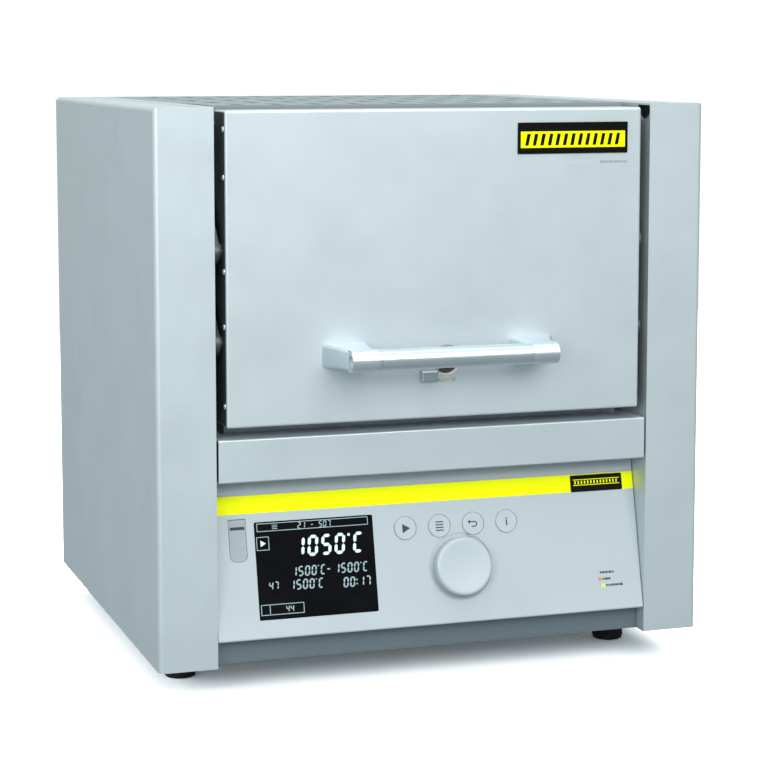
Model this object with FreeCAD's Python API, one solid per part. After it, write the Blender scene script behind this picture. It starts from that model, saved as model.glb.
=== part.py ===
import FreeCAD, Part
import math
import os

# Bench-top electric kiln with a parallel-arm lift door, in millimetres.
# +X is to the right seen from the front, +Y to the back, +Z up.
# The origin is the middle of the object's footprint, on the surface that its feet stand on.

V = FreeCAD.Vector

# ---------------------------------------------------------------- overall sizes
WIDTH = 385.0                # across the two side panels
DEPTH = 343.0                # front plane to the outside of the rear panel
BODY_HEIGHT = 368.0          # bottom to top of the side panels
FOOT_HEIGHT = 24.0
COLUMN_WIDTH = 39.5          # front face of each side panel
SHEET = 1.2                  # housing sheet
HANDLE_REACH = 39.5          # front plane to the front of the handle
EXHAUST_REACH = 22.0         # rear panel to the end of the exhaust tube

# ---------------------------------------------------------------- clearances
FIT = 0.3                    # between pieces that drop into each other
PANEL_GAP = 0.5              # control panel and skirt to the cheeks
RUNNING = 0.05               # radial, pins and shafts that turn in their holes
OPEN_PIVOT = 0.5             # radial, at the lower door pins, where the linkage is left open
SEAL_GAP = 1.5               # door plug to the collar's mouth, measured across
SLIDE = 0.4                  # shutter to the faces that guide it

# ---------------------------------------------------------------- front layout, over the body's bottom
SKIRT_HEIGHT = 17.0
SKIRT_SETBACK = 12.0
CROSSPIECE_BOTTOM = 123.2
CROSSPIECE_HEIGHT = 28.5
CROSSPIECE_GAP = 1.5
DOOR_BOTTOM = 159.5
DOOR_TOP_DROP = 2.6          # door's top edge below the body's top
DOOR_SIDE_GAP = 7.0
DOOR_PROUD = 1.0             # door face in front of the columns
DOOR_THICKNESS = 27.0
DECK_HEIGHT = 150.0          # top of the deck that carries the casing

# ---------------------------------------------------------------- chamber and insulation
CHAMBER_WIDTH = 160.0
CHAMBER_HEIGHT = 100.0
CHAMBER_DEPTH = 140.0        # door plug to the rear wall
PLUG_DEPTH = 11.0
PLUG_FLARE = 15.0            # how far the plug grows on each side towards the door
COLLAR_DEPTH = 16.5
FLOOR_INSULATION = 29.0
TILE_THICKNESS = 8.0
REAR_INSULATION = 62.0
PLATE_THICKNESS = 12.0
CASING_SHEET = 1.0
CASING_SIDE_GAP = 12.0       # casing to the cheeks: the arms run here
CASING_TOP_GAP = 26.0        # casing to the body's top: the cross shaft runs here
CASING_FRAME = 12.0          # width of the casing's front frame
CASING_SETBACK = 27.5
WIRE_RADIUS = 1.2
WIRE_RUNS = 6

# ---------------------------------------------------------------- lift linkage
ARM_LENGTH = 105.0
ARM_START = 50.0             # degrees below the horizontal when the door is shut
ARM_THICKNESS = 3.0
ARM_HALF_WIDTH = 9.0
ARM_SIDE_GAP = 2.0           # arm to the cheek and to the door
PIVOT_SPACING = 60.0         # upper pivots to lower pivots
DOOR_PIVOT_SETBACK = 16.0
PIVOT_DROP = 14.0            # upper body pivots below the body's top
SHAFT_RADIUS = 5.0
PIN_RADIUS = 4.0
PIN_LENGTH = 12.0
BUSH_WALL = 1.5
BUSH_LENGTH = 7.0
BUSH_FLANGE = 1.6
CHEEK_MARGIN = 28.5          # cheek behind the body pivots
SPRING_RADIUS = 7.4
SPRING_WIRE = 1.0
SPRING_PITCH = 2.6
SPRING_LENGTH = 26.0
SPRING_PLACE = 100.0         # from the middle to each spring

# ---------------------------------------------------------------- handle, badge, air inlet
HANDLE_HEIGHT = 204.5
ROD_RADIUS = 7.0
ROD_LENGTH = 142.0
SLEEVE_WIDTH = 18.5
SLEEVE_WALL = 0.8
BRACKET_BASE = (31.0, 16.0)
BRACKET_OFFSET = 66.0        # middle of the bracket's foot from the middle of the door
BADGE_SIZE = (80.0, 21.0)
BADGE_SIDE = 10.5            # badge to the door's side
BADGE_TOP = 9.5              # badge to the door's top
BADGE_THICKNESS = 0.8
INLET_X = 6.0
INLET_HEIGHT = 198.0
INLET_BORE = 7.0
INLET_WALL = 2.0
INLET_HOLE = 10.5            # in the door face
SHUTTER_LAP = 1.5            # shutter past the hole's edge
SHUTTER_WIDTH = 25.0
SHUTTER_THICKNESS = 1.0
SHUTTER_TRAVEL = 17.5
GRIP_SIZE = (11.0, 7.5)
GRIP_REACH = 4.5             # grip in front of the door face
NECK_SIZE = (3.0, 1.2)
NECK_DROP = 2.6              # neck's middle below the hole's edge

# ---------------------------------------------------------------- control panel, in its own tilted plane
PANEL_TILT = 13.2            # degrees, top leaning back
PANEL_SLOPE = 107.8          # height along the face
PANEL_WALL = 2.5
PANEL_DEPTH = 40.0
STRIPE_BOTTOM = 83.6
STRIPE_HEIGHT = 12.0
STRIPE_THICKNESS = 0.5
GROOVE = 0.9
LABEL_SIZE = (38.8, 11.6)
LABEL_SIDE = 8.5
LABEL_THICKNESS = 0.4
DISPLAY_SIZE = (82.5, 64.6)
DISPLAY_PLACE = (-82.3, 45.1)
DISPLAY_GLASS = 2.0
FLAP_SIZE = (11.5, 27.7)
FLAP_PLACE = (-135.2, 66.2)
FLAP_THICKNESS = 1.6
FLAP_CORNER = 4.0
FLAP_PIN = 0.55
BUTTON_RADIUS = 7.7
BUTTON_HEIGHT = 66.8
BUTTON_PLACES = {"play": -18.0, "menu": 6.5, "back": 31.0, "info": 55.5}
BUTTON_TRAVEL = 0.8
DIAL_RADIUS = 20.0
DIAL_HEIGHT = 8.5
DIAL_HOLLOW = 0.8
DIAL_SEAT = 5.5            # panel's face to the end of the encoder's shaft
DIAL_PLACE = (20.0, 38.6)
DISH_MARGIN = 2.6
DISH_DEPTH = 0.8
ENCODER_SHAFT = 3.0
BOARD_SETBACK = 7.4          # board's front behind the panel's face
BOARD_THICKNESS = 1.6

# ---------------------------------------------------------------- top, rear, feet
COVER_SETBACK = 33.0
COVER_LIP = 10.0
SLOT_SIZE = (7.0, 35.0)
SLOT_PITCH = (27.5, 62.0)
SLOT_COLUMNS = 10
FOOT_RADIUS = 12.0
FOOT_INSET = 32.0
FRONT_FOOT_SETBACK = 78.0
REAR_FOOT_SETBACK = 60.0
BOLT_RADIUS = 3.0
EXHAUST_RADIUS = 13.0
EXHAUST_STUB_RADIUS = 15.0
EXHAUST_BORE = 8.0
EXHAUST_RISE = 30.0          # above the middle of the chamber
FLANGE_PLATE = 56.0
FLANGE_THICKNESS = 2.0
POWER_BODY = (28.0, 50.0, 30.0)
POWER_RIM = 3.0
POWER_PLACE = (-120.0, 46.0)     # x, and height above the body's bottom
ROCKER_RADIUS = 9.7
ROCKER_WIDTH = 12.4
ROCKER_TILT = 7.0
SCREW_RADIUS = 1.9

# ---------------------------------------------------------------- planes that pieces share
BASE = FOOT_HEIGHT
TOP = BASE + BODY_HEIGHT
FRONT = (HANDLE_REACH - DEPTH - EXHAUST_REACH) / 2
BACK = FRONT + DEPTH
HALF = WIDTH / 2
NICHE = HALF - COLUMN_WIDTH
DECK = BASE + DECK_HEIGHT
DOOR_HALF = NICHE - DOOR_SIDE_GAP
DOOR_LOW = BASE + DOOR_BOTTOM
DOOR_HIGH = TOP - DOOR_TOP_DROP
DOOR_FACE = FRONT - DOOR_PROUD
DOOR_REAR = DOOR_FACE + DOOR_THICKNESS
PLUG_TIP = DOOR_REAR + PLUG_DEPTH
CASING_HALF = NICHE - CASING_SIDE_GAP
CASING_TOP = TOP - CASING_TOP_GAP
CASING_FRONT = FRONT + CASING_SETBACK
COLLAR_FRONT = CASING_FRONT + CASING_SHEET
COLLAR_REAR = COLLAR_FRONT + COLLAR_DEPTH
CHAMBER_REAR = PLUG_TIP + CHAMBER_DEPTH
CASING_BACK = CHAMBER_REAR + REAR_INSULATION + CASING_SHEET
CHAMBER_LOW = DECK + CASING_SHEET + FLOOR_INSULATION + TILE_THICKNESS
CHAMBER_MIDDLE = CHAMBER_LOW + CHAMBER_HEIGHT / 2
CHAMBER_HIGH = CHAMBER_LOW + CHAMBER_HEIGHT
EXHAUST_Z = CHAMBER_MIDDLE + EXHAUST_RISE
ROD_Y = FRONT - HANDLE_REACH + ROD_RADIUS + SLEEVE_WALL
ROD_Z = BASE + HANDLE_HEIGHT
INLET_Z = BASE + INLET_HEIGHT

# ---------------------------------------------------------------- pivots, as (y, z)
ARM_OUTER = NICHE - ARM_SIDE_GAP
ARM_INNER = ARM_OUTER - ARM_THICKNESS
UPPER_DOOR_PIVOT = (FRONT + DOOR_PIVOT_SETBACK,
                    TOP - PIVOT_DROP - ARM_LENGTH * math.sin(math.radians(ARM_START)))
LOWER_DOOR_PIVOT = (UPPER_DOOR_PIVOT[0], UPPER_DOOR_PIVOT[1] - PIVOT_SPACING)
UPPER_BODY_PIVOT = (UPPER_DOOR_PIVOT[0] + ARM_LENGTH * math.cos(math.radians(ARM_START)),
                    TOP - PIVOT_DROP)
LOWER_BODY_PIVOT = (UPPER_BODY_PIVOT[0], UPPER_BODY_PIVOT[1] - PIVOT_SPACING)
CHEEK_END = UPPER_BODY_PIVOT[0] + CHEEK_MARGIN
BUSH_END = NICHE + BUSH_LENGTH
SHAFT_END = BUSH_END + 2.0

# The control panel's own axes: x to the right, y up the face, z out of it.
PANEL_LOW = BASE + SKIRT_HEIGHT
PANEL_HALF = NICHE - PANEL_GAP
PANEL_PLANE = FreeCAD.Placement(V(0, FRONT, PANEL_LOW),
                                FreeCAD.Rotation(V(1, 0, 0), 90 - PANEL_TILT))


# ---------------------------------------------------------------- shape helpers
def block(x, y, z):
    """A box between two x values, two y values and two z values."""
    low = V(min(x), min(y), min(z))
    return Part.makeBox(abs(x[1] - x[0]), abs(y[1] - y[0]), abs(z[1] - z[0]), low)


def rod(start, end, radius):
    """A cylinder from one point to another."""
    return Part.makeCylinder(radius, (end - start).Length, start, end - start)


def cross_rod(x, pivot, radius):
    """A cylinder along x at a pivot given as (y, z)."""
    return rod(V(min(x), *pivot), V(max(x), *pivot), radius)


def prism(outline, x):
    """An outline of (y, z) points carried from one x value to another."""
    points = [V(min(x), y, z) for y, z in outline]
    face = Part.Face(Part.makePolygon(points + points[:1]))
    return face.extrude(V(abs(x[1] - x[0]), 0, 0))


def join(first, *others):
    return first.multiFuse(list(others)).removeSplitter()


def mirror(shape):
    """The same shape on the other side of the middle plane."""
    return shape.mirror(V(0, 0, 0), V(1, 0, 0))


def on_side(shape, side):
    """A shape built on the right, moved to the left when side is -1."""
    return shape if side > 0 else mirror(shape)


def both_sides(shape):
    return Part.makeCompound([shape, mirror(shape)])


def round_edges(shape, radius, wanted):
    """Fillet the edges whose middle point passes the test."""
    edges = [e for e in shape.Edges if wanted(e.CenterOfMass)]
    return shape.makeFillet(radius, edges)


def near(value, target):
    return abs(value - target) < 0.01


def frustum(middle, y, half_sizes):
    """A tapered block along y with a rectangular end at each y value."""
    ends = []
    for plane, (half_x, half_z) in zip(y, half_sizes):
        corners = [(-1, -1), (1, -1), (1, 1), (-1, 1)]
        points = [V(middle[0] + i * half_x, plane, middle[1] + k * half_z) for i, k in corners]
        ends.append(Part.makePolygon(points + points[:1]))
    return Part.makeLoft(ends, True, True)


def on_panel(shape):
    """Place a shape drawn in the control panel's own axes."""
    placed = shape.copy()
    placed.transformShape(PANEL_PLANE.toMatrix())
    return placed


def panel_block(middle, size, depth, corner=0.0):
    """A plate in the panel's axes, optionally with rounded corners."""
    x = (middle[0] - size[0] / 2, middle[0] + size[0] / 2)
    y = (middle[1] - size[1] / 2, middle[1] + size[1] / 2)
    plate = block(x, y, depth)
    if corner:
        plate = round_edges(plate, corner, lambda c: near(c.z, sum(depth) / 2))
    return plate


def panel_rod(middle, depth, radius):
    """A cylinder out of the panel's face, between two heights over the face."""
    return rod(V(middle[0], middle[1], min(depth)), V(middle[0], middle[1], max(depth)), radius)


# ---------------------------------------------------------------- housing
def side_panel(side):
    """Folded sheet: outer wall, front column, cheek beside the door, top, bottom and rear flanges."""
    rear = BACK - SHEET
    rear_flange = 15.0
    fold = 3.0
    shell = block((NICHE, HALF), (FRONT, rear), (BASE, TOP))
    shell = round_edges(shell, fold, lambda c: near(c.x, HALF) and (near(c.y, FRONT) or near(c.z, TOP)))
    hollow = block((NICHE - 1, HALF - SHEET), (FRONT + SHEET, rear - SHEET), (BASE + SHEET, TOP - SHEET))
    rear_cut = block((NICHE - 1, HALF - rear_flange), (rear - 2 * SHEET, rear + 1),
                     (BASE + SHEET, TOP - SHEET))
    cheek = block((NICHE, NICHE + SHEET), (FRONT, CHEEK_END), (BASE, TOP))
    hand_relief = rod(V(NICHE - 1, FRONT + 10, TOP), V(NICHE + SHEET, FRONT + 10, TOP), 11.0)
    column_top = block((NICHE - 1, NICHE + SHEET), (FRONT - 1, FRONT + SHEET), (BASE, TOP + 1))
    cheek = cheek.cut(hand_relief.cut(column_top))
    pivots = [cross_rod((NICHE - 1, NICHE + 3), UPPER_BODY_PIVOT, SHAFT_RADIUS + BUSH_WALL),
              cross_rod((NICHE - 1, NICHE + 3), LOWER_BODY_PIVOT, PIN_RADIUS + BUSH_WALL)]
    bolt_holes = [rod(V(x, y, BASE - 1), V(x, y, BASE + 5), BOLT_RADIUS)
                  for x, y in foot_places() if x > 0]
    screw_holes = [rod(V(x, BACK - 5, z), V(x, BACK + 1, z), SCREW_RADIUS)
                   for x, z in screw_places() if x > 0]
    panel = join(shell.cut([hollow, rear_cut]), cheek).cut(pivots + bolt_holes + screw_holes)
    return on_side(panel, side)


def foot_places():
    x = HALF - FOOT_INSET
    return [(i * x, y) for i in (-1, 1) for y in (FRONT + FRONT_FOOT_SETBACK, BACK - REAR_FOOT_SETBACK)]


def screw_places():
    """Rear panel screws, as (x, z), up both of its sides."""
    rows = 4
    x = HALF - 8.0
    low, high = BASE + 20.0, TOP - 20.0
    return [(i * x, low + (high - low) * k / (rows - 1)) for i in (-1, 1) for k in range(rows)]


def feet():
    """Four rubber feet, each with a pocket for its bolt's head."""
    pocket, pocket_depth, taper, edge = 6.5, 6.0, 1.5, 1.0
    one = Part.makeCone(FOOT_RADIUS - taper, FOOT_RADIUS, FOOT_HEIGHT)
    one = round_edges(one, edge, lambda c: near(c.z, 0))
    one = one.cut([rod(V(0, 0, -1), V(0, 0, pocket_depth), pocket),
                   rod(V(0, 0, 0), V(0, 0, FOOT_HEIGHT + 1), BOLT_RADIUS)])
    return Part.makeCompound([one.translated(V(x, y, 0)) for x, y in foot_places()])


def foot_bolts():
    """Bolts up through the feet, with a nut on the side panel's bottom flange."""
    head_low, head_high, tip, nut = 2.5, 6.0, BASE + 12.0, 5.0
    bolt = join(rod(V(0, 0, head_low), V(0, 0, head_high), 5.0),
                rod(V(0, 0, head_high), V(0, 0, tip), BOLT_RADIUS),
                hexagon(5.5, BASE + SHEET, BASE + SHEET + nut))
    return Part.makeCompound([bolt.translated(V(x, y, 0)) for x, y in foot_places()])


def hexagon(radius, low, high):
    corners = [math.radians(60 * k) for k in range(6)]
    points = [V(radius * math.cos(a), radius * math.sin(a), low) for a in corners]
    return Part.Face(Part.makePolygon(points + points[:1])).extrude(V(0, 0, high - low))


def stepped_plate(front, z):
    """A plate that is narrow between the cheeks and reaches the outer walls behind them."""
    rear = BACK - 3 * SHEET - FIT
    narrow = block((PANEL_GAP - NICHE, NICHE - PANEL_GAP), (front, rear), z)
    wide = block((-HALF + SHEET + FIT, HALF - SHEET - FIT), (CHEEK_END + FIT, rear), z)
    return join(narrow, wide)


def base_pan():
    """Floor of the electrical compartment, with air slots, lying on the bottom flanges."""
    z = (BASE + SHEET, BASE + 2 * SHEET)
    pan = stepped_plate(FRONT + SKIRT_SETBACK + SHEET + FIT, z)
    nuts = [rod(V(x, y, z[0] - 1), V(x, y, z[1] + 1), 8.0) for x, y in foot_places()]
    slots = [block((x - 3, x + 3), (FRONT + 90, FRONT + 130), (z[0] - 1, z[1] + 1))
             for x in range(-100, 101, 25)]
    return pan.cut(nuts + slots)


def front_skirt():
    """Set-back strip below the control panel, with a flange turned back over the base pan."""
    y = FRONT + SKIRT_SETBACK
    z_top = PANEL_LOW - FIT
    face = block((-PANEL_HALF, PANEL_HALF), (y, y + SHEET), (BASE, z_top))
    flange = block((-PANEL_HALF, PANEL_HALF), (y, y + 14.0), (z_top - SHEET, z_top))
    return join(face, flange)


def top_cover():
    """Slotted cover between the side panels, notched at its front corners for the arms."""
    half = NICHE - FIT
    front = FRONT + COVER_SETBACK
    rear = BACK - SHEET
    arm_room = 3.0
    notch_end = UPPER_BODY_PIVOT[0] + ARM_HALF_WIDTH + arm_room
    notch_half = ARM_INNER - ARM_SIDE_GAP
    plate = block((-half, half), (front, rear), (TOP - SHEET, TOP))
    lip = block((-notch_half, notch_half), (front, front + SHEET), (TOP - COVER_LIP, TOP))
    notch = block((notch_half, half + 1), (front - 1, notch_end), (TOP - COVER_LIP - 1, TOP + 1))
    first = front + 9.0
    rows = int((rear - first - SLOT_SIZE[1]) / SLOT_PITCH[1]) + 1
    slots = []
    for row in range(rows):
        y = first + row * SLOT_PITCH[1]
        for column in range(SLOT_COLUMNS):
            x = (column - (SLOT_COLUMNS - 1) / 2) * SLOT_PITCH[0]
            slots.append(vent_slot(x, y))
    return join(plate, lip).cut([notch, mirror(notch)] + slots)


def vent_slot(x, y):
    """A round-ended slot through the top cover, running back from y."""
    radius = SLOT_SIZE[0] / 2
    z = (TOP - COVER_LIP - 1, TOP + 1)
    ends = [rod(V(x, end, z[0]), V(x, end, z[1]), radius) for end in (y + radius, y + SLOT_SIZE[1] - radius)]
    return join(block((x - radius, x + radius), (y + radius, y + SLOT_SIZE[1] - radius), z), *ends)


def rear_panel():
    """Flat rear panel with the exhaust hole, the mains inlet's cut-out and air slots."""
    plate = block((-HALF, HALF), (BACK - SHEET, BACK), (BASE, TOP))
    through = (BACK - SHEET - 1, BACK + 1)
    exhaust = rod(V(0, through[0], EXHAUST_Z), V(0, through[1], EXHAUST_Z), EXHAUST_RADIUS + FIT)
    half_x, half_z = POWER_BODY[0] / 2 + FIT, POWER_BODY[1] / 2 + FIT
    power = block((POWER_PLACE[0] - half_x, POWER_PLACE[0] + half_x), through,
                  (BASE + POWER_PLACE[1] - half_z, BASE + POWER_PLACE[1] + half_z))
    screws = [rod(V(x, through[0], z), V(x, through[1], z), SCREW_RADIUS) for x, z in screw_places()]
    slots = [block((x, x + 44), through, (BASE + z, BASE + z + 3.5))
             for x in (-60, 0, 60) for z in range(24, 100, 11)]
    return plate.cut([exhaust, power] + screws + slots)


def rear_screws():
    """Pan-head screws up both sides of the rear panel."""
    screws = []
    for x, z in screw_places():
        shank = rod(V(x, BACK - 6, z), V(x, BACK, z), SCREW_RADIUS)
        head = rod(V(x, BACK, z), V(x, BACK + 2.2, z), 3.6)
        head = round_edges(head, 1.2, lambda c: near(c.y, BACK + 2.2))
        slot = block((x - 3, x + 3), (BACK + 1.3, BACK + 3), (z - 0.5, z + 0.5))
        screws.append(join(shank, head.cut(slot)))
    return Part.makeCompound(screws)


def front_crosspiece():
    """Channel between the columns, under the door, flush with the columns."""
    half = NICHE - CROSSPIECE_GAP
    low, high = BASE + CROSSPIECE_BOTTOM, BASE + CROSSPIECE_BOTTOM + CROSSPIECE_HEIGHT
    lower_flange = 14.0
    channel = block((-half, half), (FRONT, CASING_FRONT - FIT), (low, high))
    channel = round_edges(channel, 1.0, lambda c: near(c.y, FRONT) and near(c.x, 0))
    inside = block((-half - 1, half + 1), (FRONT + SHEET, CASING_FRONT + 1), (low + SHEET, high - SHEET))
    short = block((-half - 1, half + 1), (FRONT + lower_flange, CASING_FRONT + 1), (low - 1, low + SHEET))
    return channel.cut([inside, short])


def equipment_deck():
    """Deck that carries the insulated casing over the electrical compartment."""
    return stepped_plate(CASING_FRONT, (DECK - SHEET, DECK))


# ---------------------------------------------------------------- insulated chamber
def inner_casing():
    """Sheet box round the insulation, with a narrow frame at its front."""
    box = block((-CASING_HALF, CASING_HALF), (CASING_FRONT, CASING_BACK), (DECK, CASING_TOP))
    hollow = block(*casing_inside())
    f = CASING_FRAME
    mouth = block((f - CASING_HALF, CASING_HALF - f), (CASING_FRONT - 1, COLLAR_FRONT),
                  (DECK + f, CASING_TOP - f))
    return box.cut([hollow, mouth, exhaust_hole(), thermocouple_hole()])


def exhaust_hole():
    return rod(V(0, CHAMBER_REAR - 1, EXHAUST_Z), V(0, CASING_BACK + 1, EXHAUST_Z), EXHAUST_RADIUS)


def thermocouple_hole():
    radius, x = thermocouple_place()
    return rod(V(x, CHAMBER_REAR - 1, EXHAUST_Z), V(x, CASING_BACK + 1, EXHAUST_Z), radius)


def thermocouple_place():
    """Radius of the sheath and its x."""
    return 3.0, 34.0


def casing_inside():
    """The casing's inner x, y and z limits."""
    t = CASING_SHEET
    half = CASING_HALF - t
    return (-half, half), (COLLAR_FRONT, CASING_BACK - t), (DECK + t, CASING_TOP - t)


def plug_shape(grow, front, rear):
    """The door plug's taper between two y values, grown sideways by a gap."""
    slope = PLUG_FLARE / PLUG_DEPTH
    sizes = []
    for y in (front, rear):
        extra = grow + slope * (PLUG_TIP - y)
        sizes.append((CHAMBER_WIDTH / 2 + extra, CHAMBER_HEIGHT / 2 + extra))
    return frustum((0, CHAMBER_MIDDLE), (front, rear), sizes)


def insulation_collar():
    """Front frame of the insulation, with the flared mouth that the door plug closes."""
    x, _, z = casing_inside()
    collar = block(x, (COLLAR_FRONT, COLLAR_REAR), z)
    flare = plug_shape(SEAL_GAP, COLLAR_FRONT - 1, PLUG_TIP)
    half_x, half_z = CHAMBER_WIDTH / 2 + SEAL_GAP, CHAMBER_HEIGHT / 2 + SEAL_GAP
    throat = block((-half_x, half_x), (PLUG_TIP, COLLAR_REAR + 1),
                   (CHAMBER_MIDDLE - half_z, CHAMBER_MIDDLE + half_z))
    return collar.cut([flare, throat])


def insulation_floor():
    half = CHAMBER_WIDTH / 2 + PLATE_THICKNESS
    return block((-half, half), (COLLAR_REAR, CHAMBER_REAR),
                 (DECK + CASING_SHEET, CHAMBER_LOW - TILE_THICKNESS))


def insulation_roof():
    half = CHAMBER_WIDTH / 2 + PLATE_THICKNESS
    return block((-half, half), (COLLAR_REAR, CHAMBER_REAR), (CHAMBER_HIGH, CASING_TOP - CASING_SHEET))


def insulation_side(side):
    x, _, z = casing_inside()
    return on_side(block((CHAMBER_WIDTH / 2 + PLATE_THICKNESS, x[1]), (COLLAR_REAR, CHAMBER_REAR), z), side)


def insulation_rear():
    x, y, z = casing_inside()
    return block(x, (CHAMBER_REAR, y[1]), z).cut([exhaust_hole(), thermocouple_hole()])


def floor_tile():
    """Loose ceramic tile that the ware stands on."""
    half = CHAMBER_WIDTH / 2 + PLATE_THICKNESS
    tile = block((-half, half), (COLLAR_REAR, CHAMBER_REAR), (CHAMBER_LOW - TILE_THICKNESS, CHAMBER_LOW))
    return round_edges(tile, 1.0, lambda c: near(c.z, CHAMBER_LOW))


def wire_rows():
    """Heights of the straight runs of each heating wire."""
    pitch = CHAMBER_HEIGHT / WIRE_RUNS
    return [CHAMBER_LOW + pitch * (k + 0.5) for k in range(WIRE_RUNS)]


def wire_run_ends():
    """The y values where the straight runs of a heating wire turn round."""
    margin = CHAMBER_HEIGHT / WIRE_RUNS / 2 + 5.0
    return COLLAR_REAR + margin, CHAMBER_REAR - margin


def wire_path(radius):
    """Serpentine in the heating plate's inner face: straight runs joined by half rings."""
    x = CHAMBER_WIDTH / 2 + WIRE_RADIUS + 0.2
    rows = wire_rows()
    front, rear = wire_run_ends()
    bend = (rows[1] - rows[0]) / 2
    pieces = [rod(V(x, front, z), V(x, rear, z), radius) for z in rows]
    for k in range(len(rows) - 1):
        at_rear = k % 2 == 0
        middle = V(x, rear if at_rear else front, rows[k] + bend)
        ring = Part.makeTorus(bend, radius, middle, V(1, 0, 0))
        reach = bend + 2 * radius
        keep_y = (middle.y, middle.y + reach) if at_rear else (middle.y - reach, middle.y)
        half_space = block((x - reach, x + reach), keep_y, (middle.z - reach, middle.z + reach))
        pieces.append(ring.common(half_space))
    return pieces


def heating_wires():
    """One resistance wire in each heating plate."""
    wire = join(*wire_path(WIRE_RADIUS))
    return both_sides(wire)


def heating_plates():
    """Ceramic plates at the chamber's sides, grooved for the wires."""
    x = CHAMBER_WIDTH / 2
    plate = block((x, x + PLATE_THICKNESS), (COLLAR_REAR, CHAMBER_REAR), (CHAMBER_LOW, CHAMBER_HIGH))
    groove = WIRE_RADIUS + 0.2
    front, rear = wire_run_ends()
    runs = [block((x - 1, x + 2 * groove), (front, rear), (z - groove, z + groove)) for z in wire_rows()]
    return both_sides(plate.cut(wire_path(groove)).cut(runs))


def exhaust_tube():
    """Ceramic tube from the chamber's rear wall to behind the rear panel, thicker outside."""
    end = BACK + EXHAUST_REACH
    inner = rod(V(0, CHAMBER_REAR, EXHAUST_Z), V(0, end, EXHAUST_Z), EXHAUST_RADIUS)
    outer = rod(V(0, BACK + FLANGE_THICKNESS, EXHAUST_Z), V(0, end, EXHAUST_Z), EXHAUST_STUB_RADIUS)
    bore = rod(V(0, CHAMBER_REAR - 1, EXHAUST_Z), V(0, end + 1, EXHAUST_Z), EXHAUST_BORE)
    return join(inner, outer).cut(bore)


def exhaust_flange():
    """Square plate that closes the rear panel round the exhaust tube, with four screw heads."""
    half = FLANGE_PLATE / 2
    y = (BACK, BACK + FLANGE_THICKNESS)
    plate = block((-half, half), y, (EXHAUST_Z - half, EXHAUST_Z + half))
    plate = round_edges(plate, 4.0, lambda c: near(c.y, sum(y) / 2))
    inset = half - 7.0
    corners = [(i * inset, EXHAUST_Z + k * inset) for i in (-1, 1) for k in (-1, 1)]
    heads = [rod(V(x, y[1], z), V(x, y[1] + 1.8, z), 3.2) for x, z in corners]
    hole = rod(V(0, y[0] - 1, EXHAUST_Z), V(0, y[1] + 1, EXHAUST_Z), EXHAUST_RADIUS)
    return join(plate.cut(hole), *heads)


def thermocouple():
    """Ceramic sheath through the rear wall, with its connection head behind the casing."""
    radius, x = thermocouple_place()
    reach, head = 12.0, 14.0
    sheath = rod(V(x, CHAMBER_REAR - reach, EXHAUST_Z), V(x, CASING_BACK + 4, EXHAUST_Z), radius)
    sheath = round_edges(sheath, 1.5, lambda c: near(c.y, CHAMBER_REAR - reach))
    top = block((x - head / 2, x + head / 2), (CASING_BACK + 3, CASING_BACK + 3 + head),
                (EXHAUST_Z - head / 2, EXHAUST_Z + head / 2))
    return join(sheath, top)


# ---------------------------------------------------------------- lift linkage
def arm_link(body_pivot, door_pivot, body_hole, door_hole):
    """Flat arm with round ends between two pivots, bored at both."""
    x = (ARM_INNER, ARM_OUTER)
    along = V(0, door_pivot[0] - body_pivot[0], door_pivot[1] - body_pivot[1])
    across = V(0, -along.z, along.y).normalize() * ARM_HALF_WIDTH
    corners = []
    for pivot, sign in ((body_pivot, 1), (door_pivot, 1), (door_pivot, -1), (body_pivot, -1)):
        corners.append((pivot[0] + sign * across.y, pivot[1] + sign * across.z))
    link = join(prism(corners, x), cross_rod(x, body_pivot, ARM_HALF_WIDTH),
                cross_rod(x, door_pivot, ARM_HALF_WIDTH))
    holes = [cross_rod((x[0] - 1, x[1] + 1), door_pivot, door_hole)]
    if body_hole:
        holes.append(cross_rod((x[0] - 1, x[1] + 1), body_pivot, body_hole))
    return link.cut(holes)


def upper_arm(side):
    """Arm fixed on the cross shaft; the door hangs on its outer end."""
    return on_side(arm_link(UPPER_BODY_PIVOT, UPPER_DOOR_PIVOT, SHAFT_RADIUS, PIN_RADIUS + RUNNING), side)


def lower_arm(side):
    """Arm with its own stub shaft in the cheek, keeping the door upright."""
    link = arm_link(LOWER_BODY_PIVOT, LOWER_DOOR_PIVOT, 0, PIN_RADIUS + OPEN_PIVOT)
    stub = cross_rod((ARM_INNER, SHAFT_END), LOWER_BODY_PIVOT, PIN_RADIUS)
    return on_side(join(link, stub), side)


def lift_shaft():
    """Cross shaft over the casing that makes both upper arms turn together."""
    shaft = cross_rod((-SHAFT_END, SHAFT_END), UPPER_BODY_PIVOT, SHAFT_RADIUS)
    return round_edges(shaft, 0.8, lambda c: near(abs(c.x), SHAFT_END))


def pivot_bushes():
    """Flanged bushes in the cheeks for the cross shaft and the lower stub shafts."""
    bushes = []
    for pivot, bore in ((UPPER_BODY_PIVOT, SHAFT_RADIUS), (LOWER_BODY_PIVOT, PIN_RADIUS)):
        sleeve = cross_rod((NICHE, BUSH_END), pivot, bore + BUSH_WALL)
        flange = cross_rod((NICHE - BUSH_FLANGE, NICHE), pivot, bore + 2 * BUSH_WALL)
        hole = cross_rod((NICHE - BUSH_FLANGE - 1, BUSH_END + 1), pivot, bore + RUNNING)
        bush = join(sleeve, flange).cut(hole)
        bushes += [bush, mirror(bush)]
    return Part.makeCompound(bushes)


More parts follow.
